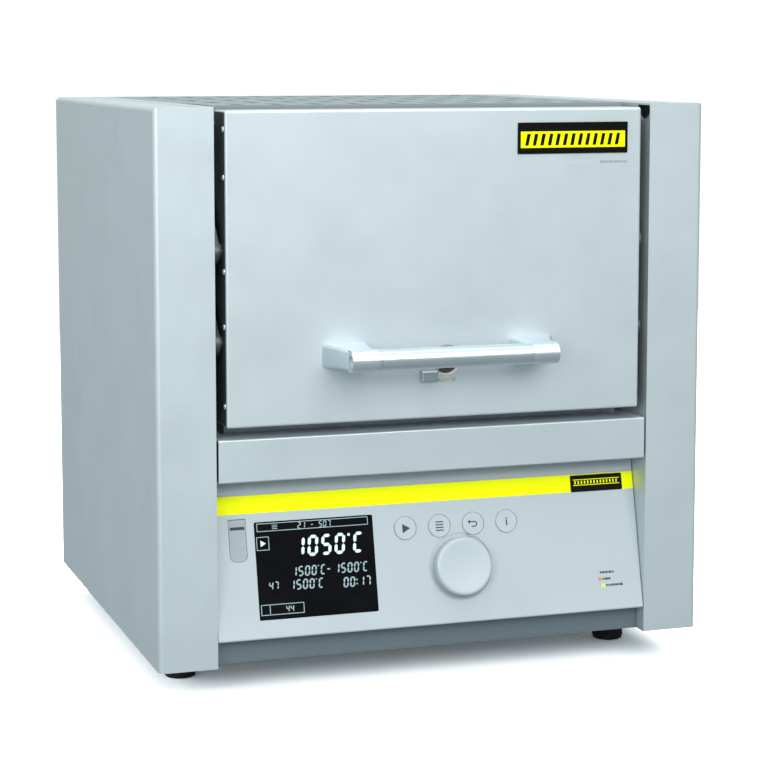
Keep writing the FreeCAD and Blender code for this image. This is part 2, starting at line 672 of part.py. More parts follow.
def counterbalance_springs():
    """Torsion springs round the cross shaft that carry part of the door's weight."""
    helix = Part.makeHelix(SPRING_PITCH, SPRING_LENGTH, SPRING_RADIUS)
    start = V(SPRING_RADIUS, 0, 0)
    section = Part.Wire(Part.makeCircle(SPRING_WIRE, start, V(0, 1, 0)))
    spring = Part.Wire(helix.Edges).makePipeShell([section], True, True)
    spring.rotate(V(0, 0, 0), V(0, 1, 0), 90)
    spring.translate(V(SPRING_PLACE, *UPPER_BODY_PIVOT))
    return both_sides(spring)


def door_pins():
    """Shouldered pins in the door's sides that the four arms turn on."""
    pins = []
    for pivot in (UPPER_DOOR_PIVOT, LOWER_DOOR_PIVOT):
        shoulder, head = PIN_RADIUS + 2.0, PIN_RADIUS + 1.5
        pin = join(cross_rod((DOOR_HALF - PIN_LENGTH / 2, ARM_OUTER + 0.4), pivot, PIN_RADIUS),
                   cross_rod((DOOR_HALF, ARM_INNER - FIT), pivot, shoulder),
                   cross_rod((ARM_OUTER + 0.4, ARM_OUTER + 1.2), pivot, head))
        pins += [pin, mirror(pin)]
    return Part.makeCompound(pins)


# ---------------------------------------------------------------- door
def door_shell():
    """Folded sheet tray, open at the back."""
    shell = block((-DOOR_HALF, DOOR_HALF), (DOOR_FACE, DOOR_REAR), (DOOR_LOW, DOOR_HIGH))
    shell = round_edges(shell, 1.5, lambda c: near(c.y, DOOR_FACE) or
                        (near(abs(c.x), DOOR_HALF) and near(c.y, (DOOR_FACE + DOOR_REAR) / 2)))
    t = SHEET
    inside = block((t - DOOR_HALF, DOOR_HALF - t), (DOOR_FACE + t, DOOR_REAR + 1),
                   (DOOR_LOW + t, DOOR_HIGH - t))
    pins = [cross_rod((-DOOR_HALF - 1, DOOR_HALF + 1), pivot, PIN_RADIUS)
            for pivot in (UPPER_DOOR_PIVOT, LOWER_DOOR_PIVOT)]
    inlet = rod(V(INLET_X, DOOR_FACE - 1, INLET_Z), V(INLET_X, DOOR_FACE + 3, INLET_Z), INLET_HOLE)
    return shell.cut([inside, inlet, shutter_slot()] + pins)


def shutter_slot():
    """Slot in the door face that the shutter's neck slides in."""
    middle_x, middle_z = shutter_neck()
    half_x, half_z = NECK_SIZE[0] / 2 + SLIDE, NECK_SIZE[1] / 2 + SLIDE
    x = (middle_x - half_x, middle_x + half_x + SHUTTER_TRAVEL)
    return block(x, (DOOR_FACE - 1, DOOR_FACE + SHEET + 1), (middle_z - half_z, middle_z + half_z))


def shutter_edge():
    """Right edge of the shutter with the inlet open: closed, it laps over the hole's right side."""
    return INLET_X + INLET_HOLE + SHUTTER_LAP - SHUTTER_TRAVEL


def shutter_heights():
    """Bottom and top of the shutter's plate."""
    return shutter_neck()[1] - NECK_SIZE[1] / 2, INLET_Z + INLET_HOLE + SHUTTER_LAP


def shutter_neck():
    """Middle x and z of the shutter's neck with the inlet open."""
    return shutter_edge() - SHUTTER_WIDTH / 3, INLET_Z - INLET_HOLE - NECK_DROP


def inlet_shutter():
    """Plate that slides behind the door face to close the air inlet, with its grip in front."""
    front = DOOR_FACE + SHEET + SLIDE
    right = shutter_edge()
    plate = block((right - SHUTTER_WIDTH, right), (front, front + SHUTTER_THICKNESS), shutter_heights())
    x, z = shutter_neck()
    low = z - NECK_SIZE[1] / 2
    grip_front = DOOR_FACE - GRIP_REACH
    neck = block((x - NECK_SIZE[0] / 2, x + NECK_SIZE[0] / 2), (grip_front + 1, front),
                 (low, low + NECK_SIZE[1]))
    grip = block((x - GRIP_SIZE[0] / 2, x + GRIP_SIZE[0] / 2), (grip_front, DOOR_FACE - SLIDE),
                 (low, low + GRIP_SIZE[1]))
    grip = round_edges(grip, 1.2, lambda c: near(c.y, grip_front))
    return join(plate, neck, grip)


def shutter_space():
    """Room behind the door face that the shutter sweeps."""
    margin = 1.0
    x = (shutter_edge() - SHUTTER_WIDTH - margin, shutter_edge() + SHUTTER_TRAVEL + margin)
    low, high = shutter_heights()
    depth = DOOR_FACE + SHEET + 2 * SLIDE + SHUTTER_THICKNESS
    return block(x, (DOOR_FACE, depth), (low - margin, high + margin))


def inlet_tube():
    """Ceramic tube that leads air from the shutter through the door into the chamber."""
    start = DOOR_FACE + SHEET + 2 * SLIDE + SHUTTER_THICKNESS
    tube = rod(V(INLET_X, start, INLET_Z), V(INLET_X, PLUG_TIP, INLET_Z), INLET_BORE + INLET_WALL)
    return tube.cut(rod(V(INLET_X, start - 1, INLET_Z), V(INLET_X, PLUG_TIP + 1, INLET_Z), INLET_BORE))


def door_insulation():
    """Fibre block that fills the door shell and ends in the plug."""
    t = SHEET + FIT
    side = PIN_LENGTH / 2 + 1.0
    slab = block((side - DOOR_HALF, DOOR_HALF - side), (DOOR_FACE + SHEET, DOOR_REAR - SHEET),
                 (DOOR_LOW + t, DOOR_HIGH - t))
    plug = plug_shape(0, DOOR_REAR, PLUG_TIP)
    root = plug_root(0)
    tube = rod(V(INLET_X, DOOR_FACE, INLET_Z), V(INLET_X, PLUG_TIP + 1, INLET_Z), INLET_BORE + INLET_WALL)
    return join(slab, root, plug).cut([tube, shutter_space()])


def plug_root(grow):
    """The straight part of the door block that passes through the back plate."""
    half_x = CHAMBER_WIDTH / 2 + PLUG_FLARE + grow
    half_z = CHAMBER_HEIGHT / 2 + PLUG_FLARE + grow
    z = (CHAMBER_MIDDLE - half_z, CHAMBER_MIDDLE + half_z)
    return block((-half_x, half_x), (DOOR_REAR - SHEET, DOOR_REAR), z)


def door_back_plate():
    """Plate that closes the back of the door round the plug."""
    t = SHEET + FIT / 2
    plate = block((t - DOOR_HALF, DOOR_HALF - t), (DOOR_REAR - SHEET, DOOR_REAR),
                  (DOOR_LOW + t, DOOR_HIGH - t))
    return plate.cut(plug_root(FIT))


def handle_rod():
    """Round grip across the two brackets."""
    grip = cross_rod((-ROD_LENGTH / 2, ROD_LENGTH / 2), (ROD_Y, ROD_Z), ROD_RADIUS)
    return round_edges(grip, 0.8, lambda c: near(abs(c.x), ROD_LENGTH / 2))


def handle_brackets():
    """Cast brackets that narrow from a broad foot on the door to a sleeve round the grip."""
    sleeve_end = ROD_LENGTH / 2 + 1.0
    sleeve_middle = sleeve_end - SLEEVE_WIDTH / 2
    foot = bracket_section(BRACKET_OFFSET, DOOR_FACE, BRACKET_BASE)
    tip = bracket_section(sleeve_middle, ROD_Y + ROD_RADIUS / 2, (SLEEVE_WIDTH, 2 * ROD_RADIUS))
    web = Part.makeLoft([foot, tip], True, True)
    sleeve = cross_rod((sleeve_end - SLEEVE_WIDTH, sleeve_end), (ROD_Y, ROD_Z), ROD_RADIUS + SLEEVE_WALL)
    bracket = join(web, sleeve)
    hole = cross_rod((0, sleeve_end + 1), (ROD_Y, ROD_Z), ROD_RADIUS)
    return both_sides(bracket.cut(hole))


def bracket_section(x, y, size):
    """Rounded-off rectangle facing the door, for the bracket's loft."""
    half_x, half_z, cut = size[0] / 2, size[1] / 2, 2.0
    right = [(half_x - cut, -half_z), (half_x, cut - half_z), (half_x, half_z - cut), (half_x - cut, half_z)]
    outline = right + [(-u, -w) for u, w in right]
    points = [V(x + u, y, ROD_Z + w) for u, w in outline]
    return Part.makePolygon(points + points[:1])


def door_badge():
    """Plain dark plate near the door's upper right corner."""
    right, top = DOOR_HALF - BADGE_SIDE, DOOR_HIGH - BADGE_TOP
    plate = block((right - BADGE_SIZE[0], right), (DOOR_FACE - BADGE_THICKNESS, DOOR_FACE),
                  (top - BADGE_SIZE[1], top))
    return round_edges(plate, 0.6, lambda c: near(c.y, DOOR_FACE - BADGE_THICKNESS / 2))


# ---------------------------------------------------------------- control panel
def control_panel():
    """Tilted moulding, hollow from behind, with openings for what it carries."""
    tilt = math.radians(PANEL_TILT)
    rise, back = PANEL_SLOPE * math.cos(tilt), FRONT + PANEL_DEPTH
    high = PANEL_LOW + rise
    outline = [(FRONT, PANEL_LOW), (FRONT + rise * math.tan(tilt), high), (back, high), (back, PANEL_LOW)]
    shell = prism(outline, (-PANEL_HALF, PANEL_HALF))
    shell = round_edges(shell, 1.2, lambda c: near(c.x, 0) and near(c.z, PANEL_LOW) and near(c.y, FRONT))
    wall, low_in, high_in = PANEL_WALL, PANEL_LOW + PANEL_WALL, high - PANEL_WALL
    behind = wall / math.cos(tilt)
    inner = [(FRONT + wall * math.tan(tilt) + behind, low_in),
             (FRONT + (rise - wall) * math.tan(tilt) + behind, high_in),
             (back + 1, high_in), (back + 1, low_in)]
    hollow = prism(inner, (wall - PANEL_HALF, PANEL_HALF - wall))
    bosses = [on_panel(panel_rod(p, (-BOARD_SETBACK, -wall / 2), 3.5)) for p in board_screws()]
    return join(shell.cut(hollow), *bosses).cut([on_panel(tool) for tool in panel_cuts()])


def panel_cuts():
    """Everything cut from the face of the control panel, in the panel's axes."""
    deep = (-PANEL_WALL - 1, 1)
    middle = (0, STRIPE_BOTTOM + STRIPE_HEIGHT / 2)
    groove = (0, STRIPE_BOTTOM + STRIPE_HEIGHT + GROOVE / 2)
    cuts = [panel_block(middle, (2 * PANEL_HALF + 2, STRIPE_HEIGHT), (-STRIPE_THICKNESS, 1)),
            panel_block(groove, (2 * PANEL_HALF + 2, GROOVE), (-1.0, 1)),
            panel_block(DISPLAY_PLACE, (DISPLAY_SIZE[0] + FIT, DISPLAY_SIZE[1] + FIT), deep, 1.0),
            flap_shape(FIT, (FLAP_PLACE[1] + FLAP_SIZE[1] / 2 + FIT), (-flap_pocket(), 1)),
            panel_block(usb_place(), (6.4, 13.9), deep),
            flap_pin_shape(FLAP_SIZE[0] + 2 * FIT + 1.6, FLAP_PIN),
            panel_rod(DIAL_PLACE, (-DISH_DEPTH, 1), DIAL_RADIUS + DISH_MARGIN),
            panel_rod(DIAL_PLACE, deep, ENCODER_SHAFT + 1.0)]
    for x in BUTTON_PLACES.values():
        cuts.append(panel_rod((x, BUTTON_HEIGHT), deep, BUTTON_RADIUS + FIT))
    return cuts


def flap_pocket():
    """Depth of the pocket that the USB flap lies in."""
    return FLAP_THICKNESS + 0.2


def usb_place():
    return FLAP_PLACE[0], FLAP_PLACE[1] - 2.0


def flap_axis():
    """Height up the panel and height over the face of the flap's hinge line."""
    return FLAP_PLACE[1] + FLAP_SIZE[1] / 2 - FLAP_THICKNESS / 2 - 0.1, -FLAP_THICKNESS / 2


def flap_pin_shape(length, radius):
    up, over = flap_axis()
    return rod(V(FLAP_PLACE[0] - length / 2, up, over), V(FLAP_PLACE[0] + length / 2, up, over), radius)


def flap_shape(grow, top, depth):
    """The flap's outline, rounded below, grown on each side."""
    low = FLAP_PLACE[1] - FLAP_SIZE[1] / 2 - grow
    half = FLAP_SIZE[0] / 2 + grow
    shape = block((FLAP_PLACE[0] - half, FLAP_PLACE[0] + half), (low, top), depth)
    return round_edges(shape, FLAP_CORNER + grow, lambda c: near(c.z, sum(depth) / 2) and near(c.y, low))


def usb_flap():
    """Rounded flap over the USB socket, turning on a moulded pin along its top edge."""
    up, _ = flap_axis()
    leaf = flap_shape(0, up, (-FLAP_THICKNESS, 0))
    knuckle = flap_pin_shape(FLAP_SIZE[0], FLAP_THICKNESS / 2)
    pin = flap_pin_shape(FLAP_SIZE[0] + 2 * FIT + 1.2, FLAP_PIN - RUNNING)
    ribs = [panel_block((FLAP_PLACE[0], up - 2.6 - 1.4 * k), (FLAP_SIZE[0] - 3, 0.5), (0, 0.3))
            for k in range(2)]
    return on_panel(join(leaf, knuckle, pin, *ribs))


def usb_port():
    """Metal socket shell with its contact tongue."""
    depth = (-16.0, -flap_pocket())
    outer = panel_block(usb_place(), (5.8, 13.3), depth)
    inner = panel_block(usb_place(), (4.8, 12.3), (depth[0] + 1, 1))
    tongue_place = (usb_place()[0] + 1.3, usb_place()[1])
    tongue = panel_block(tongue_place, (1.6, 11.0), (depth[0] + 1, depth[1] - 1.5))
    return on_panel(join(outer.cut(inner), tongue))


def stripe_inlay():
    """Bright strip let into the panel face."""
    middle = (0, STRIPE_BOTTOM + STRIPE_HEIGHT / 2)
    return on_panel(panel_block(middle, (2 * PANEL_HALF, STRIPE_HEIGHT), (-STRIPE_THICKNESS, 0)))


def panel_label():
    """Plain dark label lying on the right end of the stripe."""
    middle = (PANEL_HALF - LABEL_SIDE - LABEL_SIZE[0] / 2, STRIPE_BOTTOM + STRIPE_HEIGHT / 2 - 0.4)
    return on_panel(panel_block(middle, LABEL_SIZE, (0, LABEL_THICKNESS), 0.8))


def display_window():
    """Dark glass, flush in the panel."""
    return on_panel(panel_block(DISPLAY_PLACE, DISPLAY_SIZE, (-DISPLAY_GLASS, 0), 0.8))


def display_module():
    """Display with its circuit board, held behind the glass."""
    frame = panel_block(DISPLAY_PLACE, (DISPLAY_SIZE[0] + 6, DISPLAY_SIZE[1] + 6), (-10.0, -PANEL_WALL))
    screen = panel_block(DISPLAY_PLACE, (DISPLAY_SIZE[0] - 3, DISPLAY_SIZE[1] - 3),
                         (-PANEL_WALL, -DISPLAY_GLASS))
    board = panel_block(DISPLAY_PLACE, (DISPLAY_SIZE[0] + 6, DISPLAY_SIZE[1] + 4), (-11.6, -10.0))
    return on_panel(join(frame, screen, board))


def board_area():
    """Middle and size of the controller board."""
    return (DIAL_PLACE[0] + 8.0, 50.0), (104.0, 70.0)


def board_screws():
    (x, y), (width, height) = board_area()
    return [(x + i * (width / 2 - 5), y + k * (height / 2 - 5)) for i in (-1, 1) for k in (-1, 1)]


def controller_board():
    """Board with the key switches, the processor and the power parts behind it."""
    middle, size = board_area()
    front = -BOARD_SETBACK
    rear = front - BOARD_THICKNESS
    plate = panel_block(middle, size, (rear, front))
    switch_height = 0.8
    switches = [panel_block((x, BUTTON_HEIGHT), (6, 6), (front, front + switch_height))
                for x in BUTTON_PLACES.values()]
    chips = [panel_block((middle[0] + x, middle[1] + y), size_xy, (rear - high, rear))
             for x, y, size_xy, high in ((-30, 10, (18, 18), 2.0), (10, 18, (24, 12), 8.0),
                                         (30, -14, (16, 26), 10.0), (-20, -20, (30, 9), 9.0))]
    return on_panel(join(plate, *switches, *chips))


def push_button(x):
    """Round key with a retaining flange behind the panel and a stem over its switch."""
    middle = (x, BUTTON_HEIGHT)
    cap = panel_rod(middle, (-PANEL_WALL - 0.1, 0.3), BUTTON_RADIUS)
    cap = round_edges(cap, 0.25, lambda c: near(c.z, 0.3))
    flange = panel_rod(middle, (-PANEL_WALL - 1.1, -PANEL_WALL - 0.1), BUTTON_RADIUS + 1.2)
    switch_top = -BOARD_SETBACK + 0.8
    stem = panel_rod(middle, (switch_top + BUTTON_TRAVEL + 0.1, -PANEL_WALL - 1.1), 2.5)
    return on_panel(join(cap, flange, stem))


def encoder_body():
    """Rotary encoder fixed on the board, bored for its shaft."""
    body = panel_block(DIAL_PLACE, (16, 16), (-BOARD_SETBACK, -PANEL_WALL))
    return on_panel(body.cut(panel_rod(DIAL_PLACE, (-BOARD_SETBACK + 1, 0), ENCODER_SHAFT + RUNNING)))


def encoder_rotor():
    """Shaft of the encoder, standing out through the panel."""
    shaft = panel_rod(DIAL_PLACE, (-BOARD_SETBACK + 1.3, DIAL_SEAT), ENCODER_SHAFT)
    return on_panel(round_edges(shaft, 0.4, lambda c: near(c.z, DIAL_SEAT)))


def jog_dial():
    """Round dial with a softly rounded edge and a shallow hollow in its face."""
    low, high = 0.3, DIAL_HEIGHT
    dial = panel_rod(DIAL_PLACE, (low, high), DIAL_RADIUS)
    dial = round_edges(dial, 3.0, lambda c: near(c.z, high))
    ball = 120.0
    hollow = Part.makeSphere(ball, V(DIAL_PLACE[0], DIAL_PLACE[1], high + ball - DIAL_HOLLOW))
    bore = panel_rod(DIAL_PLACE, (low - 1, DIAL_SEAT + BUTTON_TRAVEL + FIT), ENCODER_SHAFT + RUNNING)
    return on_panel(dial.cut([hollow, bore]))


# ---------------------------------------------------------------- electrical compartment
def relay_heatsink():
    """Finned heatsink standing on the base pan."""
    x, y, z = (70.0, 130.0), (FRONT + 130.0, FRONT + 200.0), BASE + 2 * SHEET
    base = block(x, y, (z, z + 6))
    fins = [block((x[0] + 1 + k * 9.5, x[0] + 3.5 + k * 9.5), y, (z + 6, z + 34)) for k in range(6)]
    return join(base, *fins)


def solid_state_relay():
    """Relay that switches the heating current, on the heatsink's free end."""
    z = BASE + 2 * SHEET
    body = block((76.0, 120.0), (FRONT + 201.0, FRONT + 258.0), (z, z + 26))
    screws = [rod(V(x, FRONT + y, z + 26), V(x, FRONT + y, z + 28.5), 3.5)
              for x in (87.0, 109.0) for y in (208.0, 251.0)]
    return join(round_edges(body, 1.5, lambda c: near(c.z, z + 26)), *screws)


def terminal_block():
    """Row of screw terminals for the mains and heater leads."""
    z = BASE + 2 * SHEET
    body = block((-60.0, 12.0), (FRONT + 190.0, FRONT + 212.0), (z, z + 20))
    wells = [rod(V(x, FRONT + 201, z + 8), V(x, FRONT + 201, z + 21), 3.5) for x in range(-54, 7, 12)]
    return body.cut(wells)


def power_inlet():
    """Mains inlet with its switch housing in one moulding, its rim against the rear panel."""
    x, z = POWER_PLACE[0], BASE + POWER_PLACE[1]
    half_x, half_z, depth = POWER_BODY[0] / 2, POWER_BODY[1] / 2, POWER_BODY[2]
    rim = POWER_RIM
    body = block((x - half_x, x + half_x), (BACK - depth, BACK), (z - half_z, z + half_z))
    flange = block((x - half_x - rim, x + half_x + rim), (BACK, BACK + 2.0),
                   (z - half_z - rim, z + half_z + rim))
    flange = round_edges(flange, 2.5, lambda c: near(c.y, BACK + 1.0))
    socket_z = socket_middle()[2]
    socket = block((x - 12, x + 12), (BACK - 16, BACK + 3), (socket_z - 8, socket_z + 8))
    blades = [block((x + dx - 1, x + dx + 1), (BACK - 17, BACK - 6), (socket_z + dz - 2, socket_z + dz + 2))
              for dx, dz in ((-7, -1.5), (0, 3.0), (7, -1.5))]
    pivot = rocker_pivot()
    well = cross_rod((x - ROCKER_WIDTH / 2 - FIT, x + ROCKER_WIDTH / 2 + FIT), pivot, ROCKER_RADIUS + FIT)
    return join(join(body, flange).cut([socket, well]), *blades)


def socket_middle():
    return POWER_PLACE[0], BACK - 8.0, BASE + POWER_PLACE[1] - 12.5


def rocker_pivot():
    """Pivot of the mains rocker, as (y, z)."""
    return BACK - 1.0, BASE + POWER_PLACE[1] + 12.5


def mains_rocker():
    """Rocker with a ridge across its middle, shown switched off."""
    pivot = rocker_pivot()
    half = ROCKER_WIDTH / 2
    drum = cross_rod((POWER_PLACE[0] - half, POWER_PLACE[0] + half), pivot, ROCKER_RADIUS)
    rise, slope = 3.6, math.tan(math.radians(ROCKER_TILT))
    reach = ROCKER_RADIUS + 1
    outline = [(pivot[0] - 6.0, pivot[1] - reach), (pivot[0] + rise + reach * slope, pivot[1] - reach),
               (pivot[0] + rise, pivot[1]), (pivot[0] + rise + reach * slope, pivot[1] + reach),
               (pivot[0] - 6.0, pivot[1] + reach)]
    rocker = drum.common(prism(outline, (POWER_PLACE[0] - half - 1, POWER_PLACE[0] + half + 1)))
    rocker.rotate(V(0, *pivot), V(1, 0, 0), -ROCKER_TILT)
    return rocker


# ---------------------------------------------------------------- all pieces
def all_parts():
    """Every piece by name."""
    parts = {
        "base_pan": base_pan(), "front_skirt": front_skirt(), "top_cover": top_cover(),
        "rear_panel": rear_panel(), "rear_screws": rear_screws(), "front_crosspiece": front_crosspiece(),
        "equipment_deck": equipment_deck(), "rubber_feet": feet(), "foot_bolts": foot_bolts(),
        "inner_casing": inner_casing(), "insulation_collar": insulation_collar(),
        "insulation_floor": insulation_floor(), "insulation_roof": insulation_roof(),
        "insulation_rear": insulation_rear(), "floor_tile": floor_tile(),
        "heating_plates": heating_plates(), "heating_wires": heating_wires(),
        "exhaust_tube": exhaust_tube(), "exhaust_flange": exhaust_flange(), "thermocouple": thermocouple(),
        "lift_shaft": lift_shaft(), "pivot_bushes": pivot_bushes(),
        "counterbalance_springs": counterbalance_springs(), "door_pins": door_pins(),
        "door_shell": door_shell(), "door_insulation": door_insulation(),
        "door_back_plate": door_back_plate(), "door_badge": door_badge(),
        "handle_rod": handle_rod(), "handle_brackets": handle_brackets(),
        "inlet_tube": inlet_tube(), "inlet_shutter": inlet_shutter(),
        "control_panel": control_panel(), "stripe_inlay": stripe_inlay(), "panel_label": panel_label(),
        "display_window": display_window(), "display_module": display_module(),
        "usb_flap": usb_flap(), "usb_port": usb_port(), "controller_board": controller_board(),
        "encoder_body": encoder_body(), "encoder_rotor": encoder_rotor(), "jog_dial": jog_dial(),
        "relay_heatsink": relay_heatsink(), "solid_state_relay": solid_state_relay(),
        "terminal_block": terminal_block(), "power_inlet": power_inlet(), "mains_rocker": mains_rocker(),
    }
    for name, side in (("left", -1), ("right", 1)):
        parts["side_panel_" + name] = side_panel(side)
        parts["insulation_" + name] = insulation_side(side)
        parts["upper_arm_" + name] = upper_arm(side)
        parts["lower_arm_" + name] = lower_arm(side)
    for name, x in BUTTON_PLACES.items():
        parts["button_" + name] = push_button(x)
    return parts


os.makedirs("parts", exist_ok=True)
for node, shape in all_parts().items():
    if not shape.isValid():
        raise ValueError(node + " is not a valid solid")
    shape.exportStep("parts/" + node + ".step")
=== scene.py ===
import math
import random

import bmesh
import bpy
from mathutils import Matrix, Vector


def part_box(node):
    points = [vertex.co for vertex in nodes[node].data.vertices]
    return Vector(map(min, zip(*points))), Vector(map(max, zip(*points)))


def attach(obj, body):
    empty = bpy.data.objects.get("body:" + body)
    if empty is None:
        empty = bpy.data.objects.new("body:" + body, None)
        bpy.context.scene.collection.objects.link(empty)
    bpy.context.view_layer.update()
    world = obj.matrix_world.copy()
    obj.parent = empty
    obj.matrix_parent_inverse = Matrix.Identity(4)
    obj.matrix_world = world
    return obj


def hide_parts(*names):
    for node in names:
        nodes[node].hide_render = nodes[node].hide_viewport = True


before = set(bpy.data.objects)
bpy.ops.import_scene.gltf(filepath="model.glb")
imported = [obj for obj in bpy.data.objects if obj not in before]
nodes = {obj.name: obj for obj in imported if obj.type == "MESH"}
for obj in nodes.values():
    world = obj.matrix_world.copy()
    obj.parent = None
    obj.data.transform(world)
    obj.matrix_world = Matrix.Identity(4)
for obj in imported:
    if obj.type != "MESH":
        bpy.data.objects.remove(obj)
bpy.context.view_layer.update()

MM = 0.001

# ---------------------------------------------------------------- places read from the frame
side_low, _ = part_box("side_panel_left")
_, side_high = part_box("side_panel_right")
_, rear_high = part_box("rear_panel")
FRONT = side_low.y
BACK = rear_high.y
BASE = side_low.z
TOP = side_high.z
BODY_MIDDLE = Vector((0, (FRONT + BACK) / 2, (BASE + TOP) / 2))
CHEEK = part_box("lower_arm_right")[1].x + 2 * MM    # faces beside the door, from the middle
door_low, door_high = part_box("door_shell")

PANEL_TILT = math.radians(13.2)
FACING_FRONT = Matrix.Rotation(math.pi / 2, 4, "X")
FACING_REAR = Matrix.Rotation(-math.pi / 2, 4, "X")
ROCKER_TILT = math.radians(7)
ROCKER_PIVOT_DEPTH = 1 * MM
SLEEVE_WIDTH = 18.5 * MM
SLEEVE_PAST_ROD = 1 * MM
KEYS_ON_PANEL = ("play", "menu", "back", "info")


def panel_frame():
    """The control panel's own plane: x to the right, y up from the face's lower edge, z out of the face."""
    turned = Matrix.Rotation(math.pi / 2 - PANEL_TILT, 4, "X")
    places = [turned.inverted() @ v.co for v in nodes["control_panel"].data.vertices]
    face = max(p.z for p in places)
    edge = min(p.y for p in places if p.z > face - 0.1 * MM)
    return turned @ Matrix.Translation((0, edge, face))


PANEL = panel_frame()


def panel_place(node):
    """Middle of a CAD node that lies on the control panel, in the panel's plane, in metres."""
    low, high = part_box(node)
    return PANEL.inverted() @ ((low + high) / 2)


def face_height(node):
    """Height of a node's front face over the control panel's face."""
    inverse = PANEL.inverted()
    return max((inverse @ v.co).z for v in nodes[node].data.vertices)


# ---------------------------------------------------------------- materials
class Surface:
    """A Principled material whose detail comes from noise in the object's own coordinates."""

    def __init__(self, name, colour, roughness, metallic=0.0, **sockets):
        self.material = bpy.data.materials.new(name)
        self.material.use_nodes = True
        self.tree = self.material.node_tree
        self.shader = self.tree.nodes["Principled BSDF"]
        self.shader.inputs["Base Color"].default_value = (*colour, 1)
        self.shader.inputs["Roughness"].default_value = roughness
        self.shader.inputs["Metallic"].default_value = metallic
        for socket, value in sockets.items():
            self.shader.inputs[socket.replace("_", " ")].default_value = value
        self.coords = self.node("ShaderNodeTexCoord").outputs["Object"]

    def node(self, kind, **inputs):
        made = self.tree.nodes.new(kind)
        for socket, value in inputs.items():
            made.inputs[socket.replace("_", " ")].default_value = value
        return made

    def link(self, output, target):
        self.tree.links.new(output, target)

    def stretched(self, stretch):
        mapping = self.node("ShaderNodeMapping")
        mapping.inputs["Scale"].default_value = stretch
        self.link(self.coords, mapping.inputs["Vector"])
        return mapping.outputs["Vector"]

    def noise(self, size_mm, detail=2.0, roughness=0.5, stretch=(1, 1, 1), distortion=0.0):
        """Noise whose blotches are about size_mm across, before stretching."""
        made = self.node("ShaderNodeTexNoise", Scale=1000.0 / size_mm, Detail=detail,
                         Roughness=roughness, Distortion=distortion)
        self.link(self.stretched(stretch), made.inputs["Vector"])
        return made.outputs["Fac"]

    def cells(self, size_mm, stretch=(1, 1, 1)):
        made = self.node("ShaderNodeTexVoronoi", Scale=1000.0 / size_mm)
        self.link(self.stretched(stretch), made.inputs["Vector"])
        return made.outputs["Distance"]

    def ramp(self, factor, low, high, start=0.0, end=1.0):
        """Maps a factor from low..high to start..end, held at both ends."""
        made = self.node("ShaderNodeMapRange")
        for socket, value in (("From Min", low), ("From Max", high), ("To Min", start), ("To Max", end)):
            made.inputs[socket].default_value = value
        self.link(factor, made.inputs["Value"])
        return made.outputs["Result"]

    def axis(self, name):
        """One coordinate, in metres."""
        made = self.node("ShaderNodeSeparateXYZ")
        self.link(self.coords, made.inputs["Vector"])
        return made.outputs[name]

    def product(self, first, second):
        made = self.node("ShaderNodeMath")
        made.operation = "MULTIPLY"
        self.link(first, made.inputs[0])
        self.link(second, made.inputs[1])
        return made.outputs[0]

    def tint(self, factor, colour):
        """Mixes the base colour towards another where the factor is high."""
        mix = self.node("ShaderNodeMix")
        mix.data_type = "RGBA"
        socket = self.shader.inputs["Base Color"]
        if socket.is_linked:
            self.link(socket.links[0].from_socket, mix.inputs[6])
        else:
            mix.inputs[6].default_value = socket.default_value
        mix.inputs[7].default_value = (*colour, 1)
        self.link(factor, mix.inputs[0])
        self.link(mix.outputs[2], socket)
        return self

    def rough(self, factor, low, high):
        self.link(self.ramp(factor, 0.3, 0.7, low, high), self.shader.inputs["Roughness"])
        return self

    def bump(self, height, depth_mm, strength=1.0):
        made = self.node("ShaderNodeBump", Strength=strength, Distance=depth_mm * MM)
        self.link(height, made.inputs["Height"])
        socket = self.shader.inputs["Normal"]
        if socket.is_linked:
            self.link(socket.links[0].from_socket, made.inputs["Normal"])
        self.link(made.outputs["Normal"], socket)
        return self


def housing_steel(name="housing_steel", colour=(0.565, 0.645, 0.668), gap_shade=None, metallic=0.5):
    """Steel sheet with a fine leather-like texture, lightly marked by handling.

    The last argument paints shade on the faces beside the door, near-black like the shadow in the narrow gaps
    there:
    the nearest and furthest distance from the middle, and the depth at which it starts, in metres."""
    s = Surface(name, colour, 0.44, metallic, Specular_IOR_Level=metallic)
    grain = s.noise(1.1, 3, 0.6)
    s.tint(s.ramp(grain, 0.35, 0.65, 0.0, 0.10), tuple(c * 0.8 for c in colour))
    smudge = s.noise(70, 3, 0.55)
    s.tint(s.ramp(smudge, 0.50, 0.75, 0.0, 0.10), tuple(c * 0.86 for c in colour))
    if gap_shade:
        low, high, start = gap_shade
        across = s.node("ShaderNodeMath")
        across.operation = "ABSOLUTE"
        s.link(s.axis("X"), across.inputs[0])
        blend, lip = 0.02 * MM, 1.5 * MM
        outside = s.ramp(across.outputs[0], low - blend, low)
        inside = s.ramp(across.outputs[0], high, high + blend, 1.0, 0.0)
        behind = s.ramp(s.axis("Y"), start, start + lip)
        mask = s.product(s.product(outside, inside), behind)
        # painted shade: faces beside the door tinted near-black and stripped of metallic reflection, standing
        # in for the shadow in the gaps
        s.tint(mask, (0.035, 0.05, 0.052))
        s.link(s.ramp(mask, 0.0, 1.0, metallic, 0.0), s.shader.inputs["Metallic"])
    s.rough(s.noise(35, 4, 0.6), 0.38, 0.49)
    return s.bump(grain, 0.035, 0.35).material


def brushed_steel(name, colour, along="X", roughness=0.3, contrast=0.18):
    """Bare metal brushed along one axis."""
    s = Surface(name, colour, roughness, 1.0)
    stretch = {"X": (0.02, 1, 1), "Y": (1, 0.02, 1), "Z": (1, 1, 0.02)}[along]
    lines = s.noise(0.5, 3, 0.6, stretch)
    s.tint(s.ramp(lines, 0.35, 0.65, 0.0, contrast), tuple(c * 0.6 for c in colour))
    s.rough(lines, roughness - 0.06, roughness + 0.1)
    return s.bump(lines, 0.02, 0.4).material


